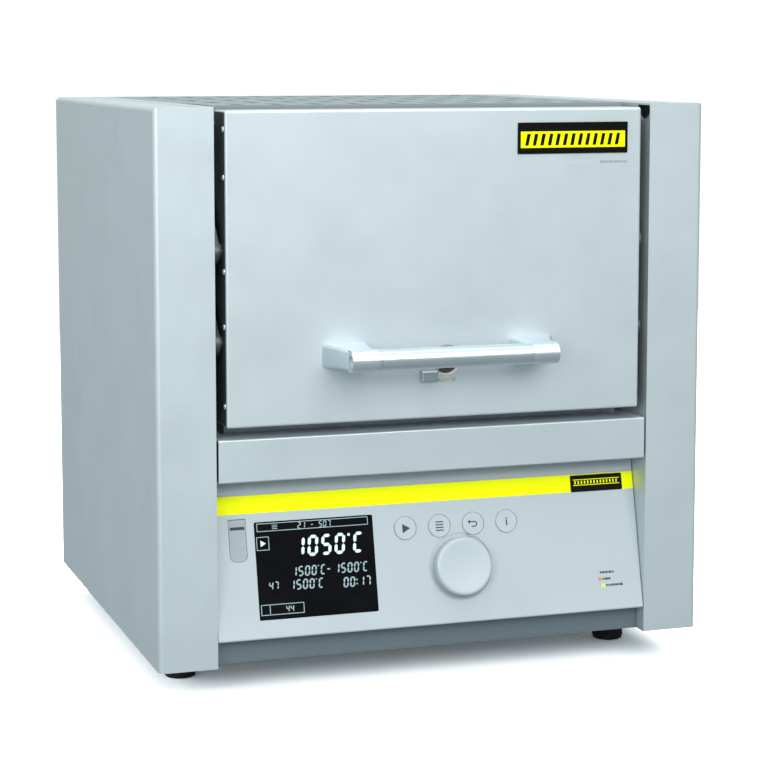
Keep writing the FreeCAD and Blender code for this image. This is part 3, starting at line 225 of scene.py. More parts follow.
def cast_metal(name, colour, roughness=0.35, metallic=1.0):
    """Plain metal with a fine grain and a slow drift of shade."""
    s = Surface(name, colour, roughness, metallic)
    grain = s.noise(0.6, 3, 0.6)
    s.tint(s.ramp(s.noise(9, 3), 0.4, 0.7, 0.0, 0.2), tuple(c * 0.7 for c in colour))
    s.rough(s.noise(5, 3), roughness - 0.05, roughness + 0.08)
    return s.bump(grain, 0.03, 0.3).material


def moulded_plastic(name, colour, roughness=0.42, grain_mm=0.45, depth_mm=0.03, shade=0.06):
    """Spark-eroded mould texture with a slow drift of shade."""
    s = Surface(name, colour, roughness)
    grain = s.noise(grain_mm, 2, 0.6)
    s.tint(s.ramp(s.noise(45, 2), 0.35, 0.7, 0.0, shade), tuple(c * 0.75 for c in colour))
    s.tint(s.ramp(grain, 0.4, 0.65, 0.0, shade), tuple(c * 0.8 for c in colour))
    s.rough(s.noise(6, 3), roughness - 0.04, roughness + 0.05)
    return s.bump(grain, depth_mm, 0.35).material


def printed(name, colour, roughness=0.4, sheen=0.2):
    """Ink or foil with a faint mottle."""
    s = Surface(name, colour, roughness, 0.0, Specular_IOR_Level=sheen)
    s.tint(s.ramp(s.noise(2.5, 3), 0.4, 0.7, 0.0, 0.08), tuple(c * 0.8 for c in colour))
    return s.bump(s.noise(0.3, 2), 0.01, 0.2).material


def ceramic_fibre(name, colour=(0.83, 0.80, 0.73), heat=(0.60, 0.47, 0.33)):
    """Vacuum-formed fibre board: matted strands, small pits and heat tint."""
    s = Surface(name, colour, 0.95)
    strands = s.noise(1.4, 5, 0.7, (1, 1, 0.35), 1.2)
    pits = s.cells(5.5)
    s.tint(s.ramp(strands, 0.35, 0.7, 0.0, 0.22), tuple(c * 0.78 for c in colour))
    s.tint(s.ramp(s.noise(38, 4, 0.6), 0.5, 0.8, 0.0, 0.45), heat)
    return s.bump(strands, 0.5, 0.5).bump(s.ramp(pits, 0.0, 0.35), 0.3, 0.25).material


def fired_ceramic(name, colour, grain_mm=0.7):
    """Rough fired body with heat stains."""
    s = Surface(name, colour, 0.7)
    grain = s.noise(grain_mm, 4, 0.65)
    s.tint(s.ramp(grain, 0.4, 0.7, 0.0, 0.25), tuple(c * 0.72 for c in colour))
    s.tint(s.ramp(s.noise(24, 4), 0.55, 0.8, 0.0, 0.4), (0.45, 0.33, 0.24))
    return s.bump(grain, 0.12, 0.5).material


def heated_wire(name):
    """Oxidised resistance alloy."""
    s = Surface(name, (0.16, 0.14, 0.13), 0.6, 0.7)
    s.tint(s.ramp(s.noise(2.0, 4), 0.45, 0.7, 0.0, 0.6), (0.34, 0.25, 0.19))
    return s.bump(s.noise(0.4, 3), 0.05, 0.5).material


def smoked_glass(name):
    """Near-black window with faint smears."""
    s = Surface(name, (0.004, 0.0045, 0.0055), 0.12, 0.0, Specular_IOR_Level=0.06)
    s.tint(s.ramp(s.noise(14, 4), 0.5, 0.8, 0.0, 0.4), (0.008, 0.0095, 0.011))
    s.rough(s.noise(20, 4), 0.10, 0.2)
    return s.material


def lit_segments(name, colour, strength):
    """Liquid crystal segments lit from behind, a little uneven."""
    s = Surface(name, colour, 0.5, 0.0, Emission_Strength=strength)
    s.tint(s.ramp(s.noise(3, 3), 0.35, 0.7, 0.0, 0.25), tuple(c * 0.7 for c in colour))
    s.link(s.shader.inputs["Base Color"].links[0].from_socket, s.shader.inputs["Emission Color"])
    return s.material


def circuit_board(name):
    """Solder mask with darker tracks."""
    s = Surface(name, (0.02, 0.16, 0.08), 0.35)
    tracks = s.cells(3.0, (1, 1, 4))
    s.tint(s.ramp(tracks, 0.35, 0.5, 0.0, 0.5), (0.03, 0.30, 0.13))
    return s.bump(s.ramp(tracks, 0.35, 0.5), 0.05, 0.4).material


def foot_rubber(name):
    """Dull black rubber with paler scuffs."""
    s = Surface(name, (0.012, 0.013, 0.014), 0.75)
    s.tint(s.ramp(s.noise(6, 4), 0.5, 0.75, 0.0, 0.5), (0.05, 0.052, 0.055))
    return s.bump(s.noise(0.6, 3), 0.08, 0.5).material


HOUSING = housing_steel()
# column and door steel: their faces beside the door carry painted shade, near-black
COLUMN = housing_steel("column_steel", gap_shade=(CHEEK - 0.1 * MM, CHEEK + 1.3 * MM, FRONT))
DOOR_STEEL = housing_steel("door_steel", (0.575, 0.65, 0.672),
                           gap_shade=(door_high.x - 0.1 * MM, 1.0, door_low.y + 1 * MM))
# top cover: a darker copy of the housing steel, without metallic, as painted shade on the top
LID = housing_steel("top_steel_painted_shade", (0.25, 0.295, 0.305), metallic=0.0)
# front skirt: dark grey colour is painted shade of the recess under the control panel
SKIRT = housing_steel("skirt_steel", (0.185, 0.235, 0.26))
# inner casing and door back plate: dark colour is painted shade seen through the gaps round the door
CASING = brushed_steel("casing_steel", (0.22, 0.24, 0.25), "Z", 0.4, 0.3)
LINK = brushed_steel("link_steel", (0.50, 0.54, 0.56), "Z", 0.3)
# arms and door pins: near-black colour is painted shade in the gaps beside the door
ARM = brushed_steel("arm_steel_painted_shade", (0.12, 0.14, 0.145), "Z", 0.48, 0.2)
ROD = brushed_steel("rod_steel", (0.63, 0.70, 0.73), "X", 0.30, 0.22)
BRACKET = brushed_steel("bracket_metal", (0.66, 0.73, 0.76), "X", 0.33, 0.12)
SCREW = cast_metal("screw_steel", (0.52, 0.55, 0.57), 0.3)
SCREW_BRIGHT = cast_metal("screw_bright", (0.75, 0.82, 0.84), 0.25, 0.6)
BRONZE = cast_metal("bush_bronze", (0.50, 0.34, 0.16), 0.35)
SPRING = cast_metal("spring_steel", (0.20, 0.21, 0.23), 0.35)
HEATSINK = brushed_steel("heatsink_aluminium", (0.55, 0.57, 0.58), "Y", 0.38)
FIBRE = ceramic_fibre("ceramic_fibre")
DOOR_FIBRE = ceramic_fibre("door_fibre", (0.86, 0.83, 0.77), (0.66, 0.52, 0.36))
TILE = fired_ceramic("floor_tile", (0.62, 0.53, 0.43))
PLATE = fired_ceramic("heating_plate", (0.80, 0.76, 0.69), 1.1)
TUBE = fired_ceramic("tube_ceramic", (0.85, 0.82, 0.74), 0.4)
# inlet tube and its rim: near-black colour is painted shade inside the door's inlet hole
SHADED_INLET = fired_ceramic("inlet_ceramic_painted_shade", (0.07, 0.065, 0.06), 0.4)
WIRE = heated_wire("heating_wire")
PLASTIC = moulded_plastic("panel_plastic", (0.455, 0.525, 0.555), 0.40)
KEYS = moulded_plastic("key_plastic", (0.465, 0.535, 0.565), 0.36, 0.3, 0.015)
DIAL = moulded_plastic("dial_plastic", (0.47, 0.54, 0.575), 0.34, 0.3, 0.012)
FLAP = moulded_plastic("flap_plastic", (0.33, 0.39, 0.42), 0.42)
BLACK = moulded_plastic("black_plastic", (0.018, 0.018, 0.02), 0.45)
YELLOW = printed("stripe_yellow", (0.94, 1.0, 0.0), 0.5, 0.1)
BADGE = printed("badge_black", (0.004, 0.004, 0.003), 0.4, 0.08)
INK = printed("dark_ink", (0.05, 0.07, 0.08), 0.5)
PALE_INK = printed("grey_ink", (0.28, 0.33, 0.35), 0.5)
PALE_PRINT = printed("pale_print", (0.50, 0.57, 0.60), 0.5)
ORANGE_INK = printed("orange_ink", (0.80, 0.22, 0.05), 0.5)
WHITE_INK = printed("white_ink", (0.80, 0.80, 0.80), 0.5)
GLASS = smoked_glass("display_glass")
LCD = lit_segments("lcd_segments", (0.55, 0.72, 0.74), 0.55)
LCD_DIM = lit_segments("lcd_dim_segments", (0.30, 0.42, 0.45), 0.25)
BOARD = circuit_board("board_green")
RUBBER = foot_rubber("foot_rubber")

CARRIED_OVER = {
    HOUSING: ["rear_panel", "front_crosspiece", "base_pan", "equipment_deck"],
    LID: ["top_cover"],
    COLUMN: ["side_panel_left", "side_panel_right"],
    DOOR_STEEL: ["door_shell"],
    SKIRT: ["front_skirt"],
    CASING: ["inner_casing", "door_back_plate"],
    ARM: ["upper_arm_left", "upper_arm_right", "lower_arm_left", "lower_arm_right", "door_pins"],
    LINK: ["lift_shaft", "inlet_shutter", "encoder_rotor", "usb_port", "exhaust_flange"],
    SCREW: ["rear_screws", "foot_bolts"],
    BRONZE: ["pivot_bushes"],
    SPRING: ["counterbalance_springs"],
    HEATSINK: ["relay_heatsink"],
    FIBRE: ["insulation_collar", "insulation_floor", "insulation_roof", "insulation_left",
            "insulation_right", "insulation_rear"],
    DOOR_FIBRE: ["door_insulation"],
    TILE: ["floor_tile"],
    PLATE: ["heating_plates"],
    TUBE: ["exhaust_tube", "thermocouple"],
    SHADED_INLET: ["inlet_tube"],
    WIRE: ["heating_wires"],
    ROD: ["handle_rod"],
    BRACKET: ["handle_brackets"],
    PLASTIC: ["control_panel"],
    KEYS: ["button_play", "button_menu", "button_back", "button_info"],
    DIAL: ["jog_dial"],
    FLAP: ["usb_flap"],
    YELLOW: ["stripe_inlay"],
    BADGE: ["door_badge", "panel_label"],
    GLASS: ["display_window"],
    BOARD: ["controller_board"],
    BLACK: ["display_module", "encoder_body", "power_inlet", "mains_rocker", "terminal_block",
            "solid_state_relay"],
    RUBBER: ["rubber_feet"],
}


def give_materials():
    """Puts each material on the carried-over CAD nodes that take it."""
    for material, names in CARRIED_OVER.items():
        for name in names:
            mesh = nodes[name].data
            mesh.materials.clear()
            mesh.materials.append(material)


# ---------------------------------------------------------------- mesh helpers
def add_piece(name, mesh, material, body, smooth_angle=None):
    """A finished mesh as a piece that rides on a body."""
    mesh.materials.append(material)
    piece = bpy.data.objects.new(name, mesh)
    bpy.context.scene.collection.objects.link(piece)
    if smooth_angle is not None:
        mesh.shade_smooth()
        mesh.set_sharp_from_angle(angle=math.radians(smooth_angle))
    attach(piece, body)
    return piece


def mesh_from(name, build):
    """Runs a builder on a fresh bmesh and returns the cleaned mesh."""
    made = bmesh.new()
    build(made)
    bmesh.ops.recalc_face_normals(made, faces=made.faces)
    mesh = bpy.data.meshes.new(name)
    made.to_mesh(mesh)
    made.free()
    return mesh


def add_prism(made, outline, plane, low, high):
    """Extrudes a flat outline of (x, y) points between two heights over a plane."""
    bottom = [made.verts.new(plane @ Vector((x, y, low))) for x, y in outline]
    top = [made.verts.new(plane @ Vector((x, y, high))) for x, y in outline]
    made.faces.new(bottom[::-1])
    made.faces.new(top)
    count = len(outline)
    for k in range(count):
        after = (k + 1) % count
        made.faces.new((bottom[k], bottom[after], top[after], top[k]))


def add_lathe(made, profile, plane, steps=48):
    """Turns a profile of (radius, height) points about the plane's z axis."""
    rings = []
    for radius, height in profile:
        if radius == 0:
            rings.append([made.verts.new(plane @ Vector((0, 0, height)))])
            continue
        angles = [2 * math.pi * k / steps for k in range(steps)]
        rings.append([made.verts.new(plane @ Vector((radius * math.cos(a), radius * math.sin(a), height)))
                      for a in angles])
    for lower, upper in zip(rings, rings[1:]):
        for k in range(steps):
            after = (k + 1) % steps
            corners = [lower[k % len(lower)], lower[after % len(lower)],
                       upper[after % len(upper)], upper[k % len(upper)]]
            unique = list(dict.fromkeys(corners))
            if len(unique) > 2:
                made.faces.new(unique)
    for ring in (rings[0], rings[-1]):
        if len(ring) > 2:
            made.faces.new(ring)


def add_ring(made, profile, plane, steps):
    """Turns a closed profile about the plane's z axis; the last point repeats the first."""
    rings = []
    for k in range(steps):
        a = 2 * math.pi * k / steps
        rings.append([made.verts.new(plane @ Vector((r * math.cos(a), r * math.sin(a), h)))
                      for r, h in profile[:-1]])
    count = len(profile) - 1
    for k in range(steps):
        here, there = rings[k], rings[(k + 1) % steps]
        for j in range(count):
            made.faces.new((here[j], here[(j + 1) % count], there[(j + 1) % count], there[j]))


def rectangle(x, y, width, height):
    """Corners of a rectangle about its middle."""
    a, b = width / 2, height / 2
    return [(x - a, y - b), (x + a, y - b), (x + a, y + b), (x - a, y + b)]


def rounded_rectangle(x, y, width, height, corner, steps=5):
    """Outline of a rectangle about its middle, with an arc of a few steps at each corner."""
    points = []
    for i, k, start in ((1, 1, 0), (-1, 1, 90), (-1, -1, 180), (1, -1, 270)):
        middle = (x + i * (width / 2 - corner), y + k * (height / 2 - corner))
        for step in range(steps + 1):
            a = math.radians(start + 90 * step / steps)
            points.append((middle[0] + corner * math.cos(a), middle[1] + corner * math.sin(a)))
    return points


def frame_outline(x, y, width, height, line):
    """Four thin bars round a rectangle."""
    a, b = width / 2 - line / 2, height / 2 - line / 2
    return [rectangle(x, y - b, width, line), rectangle(x, y + b, width, line),
            rectangle(x - a, y, line, height - 2 * line), rectangle(x + a, y, line, height - 2 * line)]


def triangle(x, y, radius):
    """Triangle pointing to the right."""
    return [(x - radius * 0.6, y - radius * 0.8), (x + radius * 0.8, y), (x - radius * 0.6, y + radius * 0.8)]


def arc_band(x, y, radius, line, start, end, steps=12):
    """A curved bar between two angles, in degrees."""
    angles = [math.radians(start + (end - start) * k / steps) for k in range(steps + 1)]
    outer = [(x + (radius + line / 2) * math.cos(a), y + (radius + line / 2) * math.sin(a)) for a in angles]
    inner = [(x + (radius - line / 2) * math.cos(a), y + (radius - line / 2) * math.sin(a)) for a in angles]
    return outer + inner[::-1]


def cross_outline(reach, half):
    """Plus sign with arms of a given reach and half width."""
    return [(half, half), (half, reach), (-half, reach), (-half, half), (-reach, half), (-reach, -half),
            (-half, -half), (-half, -reach), (half, -reach), (half, -half), (reach, -half), (reach, half)]


def flat_piece(name, outlines, plane, low, high, material, body):
    """Several flat shapes of one thickness as one piece."""
    def build(made):
        for outline in outlines:
            add_prism(made, outline, plane, low, high)
    return add_piece(name, mesh_from(name, build), material, body)


# ---------------------------------------------------------------- display content
SEGMENTS = {"0": "abcdef", "1": "bc", "2": "abged", "3": "abgcd", "4": "fgbc", "5": "afgcd", "7": "abc",
            "8": "abcdefg", "C": "afed", "-": "g", " ": ""}
SLANT = 0.10


def segment_outline(kind, width, height, line):
    """One bar of a segment digit, with pointed ends, in a cell whose corner is at 0, 0."""
    gap = line * 0.12
    half = line / 2
    rows = {"a": height - half, "g": height / 2, "d": half}
    if kind in rows:
        y = rows[kind]
        x0, x1 = half + gap, width - half - gap
        return [(x0, y), (x0 + half, y - half), (x1 - half, y - half), (x1, y),
                (x1 - half, y + half), (x0 + half, y + half)]
    x = half if kind in "fe" else width - half
    low, high = (height / 2, height - half) if kind in "fb" else (half, height / 2)
    y0, y1 = low + gap, high - gap
    return [(x, y0), (x + half, y0 + half), (x + half, y1 - half), (x, y1),
            (x - half, y1 - half), (x - half, y0 + half)]


def segment_text(text, x, y, height, line=0.14):
    """Outlines of a run of segment digits whose lower left corner is at x, y."""
    width = height * 0.52
    outlines = []
    for glyph in text:
        if glyph == "o":
            ring = [(x + height * (0.10 + 0.07 * math.cos(a)), y + height * (0.9 + 0.07 * math.sin(a)))
                    for a in (math.radians(45 * k) for k in range(8))]
            outlines.append(ring)
            x += height * 0.26
            continue
        if glyph == ":":
            for part in (0.28, 0.68):
                outlines.append(rectangle(x + height * 0.08, y + height * part, height * line, height * line))
            x += height * 0.26
            continue
        for kind in SEGMENTS[glyph]:
            bar = segment_outline(kind, width, height, height * line)
            outlines.append([(x + px + SLANT * py, y + py) for px, py in bar])
        x += width + height * 0.16
    return outlines


def display_content():
    """Temperature, limits and time on the display, all of them plain numbers."""
    middle = panel_place("display_window")
    low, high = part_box("display_window")
    width = high.x - low.x
    height = (high.z - low.z) / math.cos(PANEL_TILT) - 0.6 * MM
    left, bottom = middle.x - width / 2, middle.y - height / 2

    def at(across, up):
        return left + across * width, bottom + up * height

    line = 0.45 * MM
    bright = segment_text("1050oC", *at(0.315, 0.620), 0.215 * height, 0.15)
    bright += [triangle(*at(0.064, 0.780), 2.6 * MM)]
    dim = segment_text("21 - 507", *at(0.36, 0.910), 0.068 * height)
    dim += segment_text("1500oC", *at(0.285, 0.420), 0.105 * height)
    dim += segment_text("-", *at(0.575, 0.420), 0.105 * height)
    dim += segment_text("1500oC", *at(0.645, 0.420), 0.105 * height)
    dim += segment_text("1500oC", *at(0.260, 0.285), 0.105 * height)
    dim += segment_text("00:17", *at(0.715, 0.270), 0.105 * height)
    dim += segment_text("47", *at(0.09, 0.300), 0.085 * height)
    dim += segment_text("44", *at(0.22, 0.065), 0.070 * height)
    dim += frame_outline(*at(0.49, 0.945), 0.94 * width, 0.085 * height, line)
    dim += frame_outline(*at(0.064, 0.780), 0.105 * width, 0.14 * height, line)
    dim += frame_outline(*at(0.195, 0.100), 0.36 * width, 0.11 * height, line)
    dim += [rectangle(*at(0.09, 0.100), line, 0.09 * height)]
    dim += [rectangle(*at(0.17, 0.945 + step * 0.018), 0.045 * width, line) for step in (-1, 0, 1)]
    face = face_height("display_window")
    low, high = face - 0.05 * MM, face + 0.05 * MM
    flat_piece("display_main_digits", bright, PANEL, low, high, LCD, "housing")
    flat_piece("display_small_digits", dim, PANEL, low, high, LCD_DIM, "housing")


# ---------------------------------------------------------------- keys and dial
def key_icons():
    """Printed signs on the four round keys."""
    line = 0.8 * MM
    for name in KEYS_ON_PANEL:
        middle = panel_place("button_" + name)
        x, y = middle.x, middle.y
        face = face_height("button_" + name)
        if name == "play":
            shapes = [triangle(x + 0.2 * MM, y, 4.0 * MM)]
        elif name == "menu":
            shapes = [rectangle(x, y + k * 1.9 * MM, 5.6 * MM, line) for k in (-1.5, -0.5, 0.5, 1.5)]
        elif name == "back":
            bend = 1.6 * MM
            shapes = [arc_band(x + 1.0 * MM, y - 0.1 * MM, bend, line, -90, 90),
                      rectangle(x - 0.9 * MM, y + bend - 0.1 * MM, 3.8 * MM, line),
                      rectangle(x - 0.1 * MM, y - bend - 0.1 * MM, 2.2 * MM, line),
                      [(x - 2.2 * MM, y + bend + 1.5 * MM), (x - 4.0 * MM, y + bend - 0.1 * MM),
                       (x - 2.2 * MM, y + bend - 1.7 * MM)]]
        else:
            shapes = [rectangle(x, y - 0.7 * MM, 1.0 * MM, 4.0 * MM),
                      rectangle(x, y + 2.3 * MM, 1.0 * MM, 1.0 * MM)]
        flat_piece("icon_" + name, shapes, PANEL, face - 0.02 * MM, face + 0.05 * MM, INK,
                   "button_" + name)


def key_rings():
    """Fine raised rings moulded round each key."""
    def build(made):
        for name in KEYS_ON_PANEL:
            middle = panel_place("button_" + name)
            plane = PANEL @ Matrix.Translation((middle.x, middle.y, 0))
            inner, outer, rise = 8.05 * MM, 8.75 * MM, 0.22 * MM
            profile = [(inner, -0.05 * MM), (inner, rise * 0.7), (inner + 0.15 * MM, rise),
                       (outer - 0.2 * MM, rise), (outer, -0.05 * MM), (inner, -0.05 * MM)]
            add_ring(made, profile, plane, 64)
    add_piece("key_rings", mesh_from("key_rings", build), KEYS, "housing", 40)


def jog_dial():
    """Turned dial: straight side with fine grip lines, rounded shoulder, shallow hollow face."""
    middle = panel_place("jog_dial")
    low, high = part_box("jog_dial")
    radius = (high.x - low.x) / 2
    top = face_height("jog_dial")
    bottom = 0.3 * MM
    shoulder, hollow = 2.2 * MM, 0.8 * MM
    plane = PANEL @ Matrix.Translation((middle.x, middle.y, 0))
    rim = radius - shoulder
    seat = top - 1.5 * MM
    profile = [(3.1 * MM, seat), (3.1 * MM, bottom), (radius - 0.4 * MM, bottom), (radius, bottom + 0.4 * MM)]
    for k in range(3):
        h = bottom + 1.0 * MM + k * 1.5 * MM
        profile += [(radius, h), (radius - 0.18 * MM, h + 0.25 * MM), (radius, h + 0.5 * MM)]
    for k in range(9):
        a = math.pi / 2 * k / 8
        profile.append((rim + shoulder * math.cos(a), top - shoulder + shoulder * math.sin(a)))
    for k in range(1, 9):
        part = 1 - k / 8
        profile.append((rim * part, top - hollow * (1 - part ** 2)))
    profile[-1] = (0, top - hollow)
    profile = [(0, seat)] + profile

    def build(made):
        add_lathe(made, profile, plane, 96)
    piece = add_piece("dial", mesh_from("dial", build), DIAL, "jog_dial", 50)
    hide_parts("jog_dial")


def print_dashes(x0, x1, y, height, generator):
    """A run of short dashes of uneven length between two places, in the manner of small print."""
    shapes = []
    x = x0
    while x < x1:
        length = min(generator.uniform(0.7, 2.0) * MM, x1 - x)
        shapes.append(rectangle(x + length / 2, y, length, height * generator.uniform(0.7, 1.0)))
        x += length + 0.35 * MM
    return shapes


def panel_marks():
    """Small generic print: three short lines with two coloured squares, and a stripe pattern on the label."""
    generator = random.Random(11)
    low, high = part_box("panel_label")
    middle = panel_place("panel_label")
    x, y = high.x - 16.5 * MM, 16.5 * MM
    bars = print_dashes(x - 5.5 * MM, x + 5.0 * MM, y + 9.0 * MM, 1.7 * MM, generator)
    bars += print_dashes(x - 3.8 * MM, x + 2.5 * MM, y + 4.5 * MM, 1.7 * MM, generator)
    bars += print_dashes(x - 1.6 * MM, x + 11.0 * MM, y, 1.7 * MM, generator)
    flat_piece("panel_print", bars, PANEL, -0.01 * MM, 0.04 * MM, INK, "housing")
    flat_piece("panel_print_orange", [rectangle(x - 5.6 * MM, y + 4.5 * MM, 2.2 * MM, 2.2 * MM)], PANEL,
               -0.01 * MM, 0.04 * MM, ORANGE_INK, "housing")
    flat_piece("panel_print_yellow", [rectangle(x - 3.6 * MM, y, 2.2 * MM, 2.2 * MM)], PANEL,
               -0.01 * MM, 0.04 * MM, YELLOW, "housing")
    width = high.x - low.x
    top = face_height("panel_label")
    band = [rectangle(middle.x, middle.y - 1.2 * MM, width - 4 * MM, 0.5 * MM),
            rectangle(middle.x, middle.y + 2.6 * MM, width - 4 * MM, 0.5 * MM)]
    first = middle.x - width / 2 + 3.5 * MM
    band += [rectangle(first + k * 2.4 * MM, middle.y + 0.7 * MM, 1.0 * MM, 2.2 * MM) for k in range(14)]
    flat_piece("label_pattern", band, PANEL, top - 0.01 * MM, top + 0.05 * MM, YELLOW,
               "housing")


# ---------------------------------------------------------------- badge on the door
def door_badge():
    """Dark plate with a yellow band of plain slanted bars, and a line of small print below."""
    low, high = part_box("door_badge")
    plane = Matrix.Translation((0, low.y, 0)) @ FACING_FRONT
    middle_x, middle_z = (low.x + high.x) / 2, (low.z + high.z) / 2
    width, height = high.x - low.x, high.z - low.z
    lift = 0.06 * MM
    band_z, band_height = middle_z - 1.0 * MM, height * 0.52
    flat_piece("badge_band", [rectangle(middle_x, band_z, width * 0.95, band_height)], plane, -lift, lift,
               YELLOW, "door")
    lean = 1.6 * MM
    bars = []
    count = 13
    for k in range(count):
        x = middle_x + (k - (count - 1) / 2) * width * 0.068
        tall = band_height * 0.36
        bars.append([(x - 1.5 * MM - lean / 2, band_z - tall), (x + 1.0 * MM - lean / 2, band_z - tall),
                     (x + 1.0 * MM + lean / 2, band_z + tall), (x - 1.5 * MM + lean / 2, band_z + tall)])
    flat_piece("badge_bars", bars, plane, lift * 0.5, 2 * lift, BADGE, "door")
    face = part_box("door_shell")[0].y
    door_plane = Matrix.Translation((0, face, 0)) @ FACING_FRONT
    z = low.z - 6.0 * MM
    generator = random.Random(5)
    left, bend = middle_x - width * 0.50, middle_x + width * 0.24
    flat_piece("door_print", print_dashes(left, bend, z, 1.5 * MM, generator), door_plane,
               -0.02 * MM, 0.03 * MM, PALE_PRINT, "door")
    flat_piece("door_print_dark", print_dashes(bend + MM, middle_x + width * 0.50, z, 1.5 * MM, generator),
               door_plane, -0.02 * MM, 0.03 * MM, PALE_INK, "door")


# ---------------------------------------------------------------- handle
def bracket_ring(middle, size, corner, steps=6):
    """Ring of points of a rounded rectangle in a plane that faces the door."""
    points = rounded_rectangle(0, 0, size[0], size[1], corner, steps)
    return [Vector((middle.x + x, middle.y, middle.z + z)) for x, z in points]


def handle_brackets():
    """Brackets: a flared foot drawn in to a sleeve round the rod."""
    _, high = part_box("handle_brackets")
    rod_low, rod_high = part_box("handle_rod")
    radius = (rod_high.z - rod_low.z) / 2
    rod_y, rod_z = (rod_low.y + rod_high.y) / 2, (rod_low.z + rod_high.z) / 2
    sleeve_radius = radius + 0.35 * MM
    foot_y = high.y
    foot = (31 * MM, 16 * MM)
    sleeve_end = rod_high.x + SLEEVE_PAST_ROD
    foot_x, sleeve_x = high.x - foot[0] / 2, sleeve_end - SLEEVE_WIDTH / 2

    def build(made):
        for side in (-1, 1):
            rings = []
            stations = 9
            for k in range(stations):
                part = k / (stations - 1)
                ease = 1 - (1 - part) ** 1.6
                width = foot[0] + (SLEEVE_WIDTH - foot[0]) * ease
                height = foot[1] + (2 * radius * 0.98 - foot[1]) * ease
                x = foot_x + (sleeve_x - foot_x) * ease
                y = foot_y + (rod_y + radius * 0.3 - foot_y) * part
                ring = bracket_ring(Vector((side * x, y, rod_z)), (width, height), 2.2 * MM)
                rings.append([made.verts.new(p) for p in ring])
            count = len(rings[0])
            for here, there in zip(rings, rings[1:]):
                for j in range(count):
                    made.faces.new((here[j], here[(j + 1) % count], there[(j + 1) % count], there[j]))
            made.faces.new(rings[0])
            made.faces.new(rings[-1][::-1])
            plane = Matrix.Translation((side * sleeve_x, rod_y, rod_z)) @ Matrix.Rotation(math.pi / 2, 4, "Y")
            half, edge = SLEEVE_WIDTH / 2, 0.3 * MM
            inner = radius + 0.02 * MM
            profile = [(inner, -half), (sleeve_radius - edge, -half), (sleeve_radius, edge - half),
                       (sleeve_radius, half - edge), (sleeve_radius - edge, half), (inner, half),
                       (inner, -half)]
            add_ring(made, profile, plane, 64)
    piece = add_piece("brackets", mesh_from("brackets", build), BRACKET, "door", 38)
    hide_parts("handle_brackets")


def handle_grip():
    """Brushed rod with turned ends and a fine ring beside each sleeve."""
    low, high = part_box("handle_rod")
    radius = (high.z - low.z) / 2
    middle = (low + high) / 2
    half = (high.x - low.x) / 2
    plane = Matrix.Translation(middle) @ Matrix.Rotation(math.pi / 2, 4, "Y")
    edge = 1.0 * MM
    ring_at = half + SLEEVE_PAST_ROD - SLEEVE_WIDTH - 1.2 * MM
    side = [(radius, ring_at - 0.5 * MM), (radius - 0.35 * MM, ring_at - 0.25 * MM),
            (radius - 0.35 * MM, ring_at + 0.25 * MM), (radius, ring_at + 0.5 * MM)]
    end = [(radius, half - edge), (radius - edge * 0.3, half - edge * 0.3), (radius - edge, half),
           (3.2 * MM, half), (2.6 * MM, half - 1.2 * MM), (0, half - 1.2 * MM)]
    upper = side + end
    profile = [(r, -h) for r, h in reversed(upper)] + upper

    def build(made):
        add_lathe(made, profile, plane, 72)
    piece = add_piece("grip", mesh_from("grip", build), ROD, "door", 35)
    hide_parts("handle_rod")


# ---------------------------------------------------------------- door trim
def door_screws():
    """Small bright heads on the door's side faces, clear of the arms."""
    low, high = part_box("door_shell")
    y = low.y + 4.5 * MM

    def build(made):
        for side in (-1, 1):
            edge = low.x if side < 0 else high.x
            facing = Matrix.Rotation(side * math.pi / 2, 4, "Y")
            for z in (low.z + 14 * MM, low.z + 66 * MM, low.z + 102 * MM, high.z - 43 * MM, high.z - 12 * MM):
                add_screw_head(made, Matrix.Translation((edge, y, z)) @ facing, 1.9 * MM, 1.0 * MM)
    add_piece("door_screws", mesh_from("door_screws", build), SCREW_BRIGHT, "door", 50)


def inlet_mouth():
    """Dark rim round the end of the air inlet tube, behind the door's face; its near-black colour is painted
    shade in the inlet hole.
    """
    low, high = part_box("inlet_tube")
    middle = (low + high) / 2
    radius = (high.x - low.x) / 2
    plane = Matrix.Translation((middle.x, low.y, middle.z)) @ FACING_FRONT

    def build(made):
        bore, rise = radius - 1.9 * MM, 0.25 * MM
        profile = [(bore, -0.1 * MM), (bore, rise), (radius - 0.2 * MM, rise), (radius, rise - 0.15 * MM),
                   (radius, -0.1 * MM), (bore, -0.1 * MM)]
        add_ring(made, profile, plane, 48)
    add_piece("inlet_mouth", mesh_from("inlet_mouth", build), SHADED_INLET, "door", 40)


def flap_face():
    """Moulded face of the port cover: a dark upper band and two fine ridges on the body below."""
    low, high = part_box("usb_flap")
    middle = panel_place("usb_flap")
    face = face_height("usb_flap")
    width = high.x - low.x
    height = (high.z - low.z) / math.cos(PANEL_TILT) - 0.5 * MM
    x, y = middle.x, middle.y
    band = [rectangle(x, y + height * 0.30, width * 0.74, height * 0.07)]
    flat_piece("flap_band", band, PANEL, face - 0.04 * MM, face + 0.05 * MM, BLACK,
               "usb_flap")
    ridges = [arc_band(x, y - height * 0.02, width * 0.30, 0.5 * MM, 205, 335),
              arc_band(x, y - height * 0.02, width * 0.21, 0.5 * MM, 205, 335)]
    flat_piece("flap_ridges", ridges, PANEL, face - 0.04 * MM, face + 0.14 * MM, PLASTIC,
               "usb_flap")


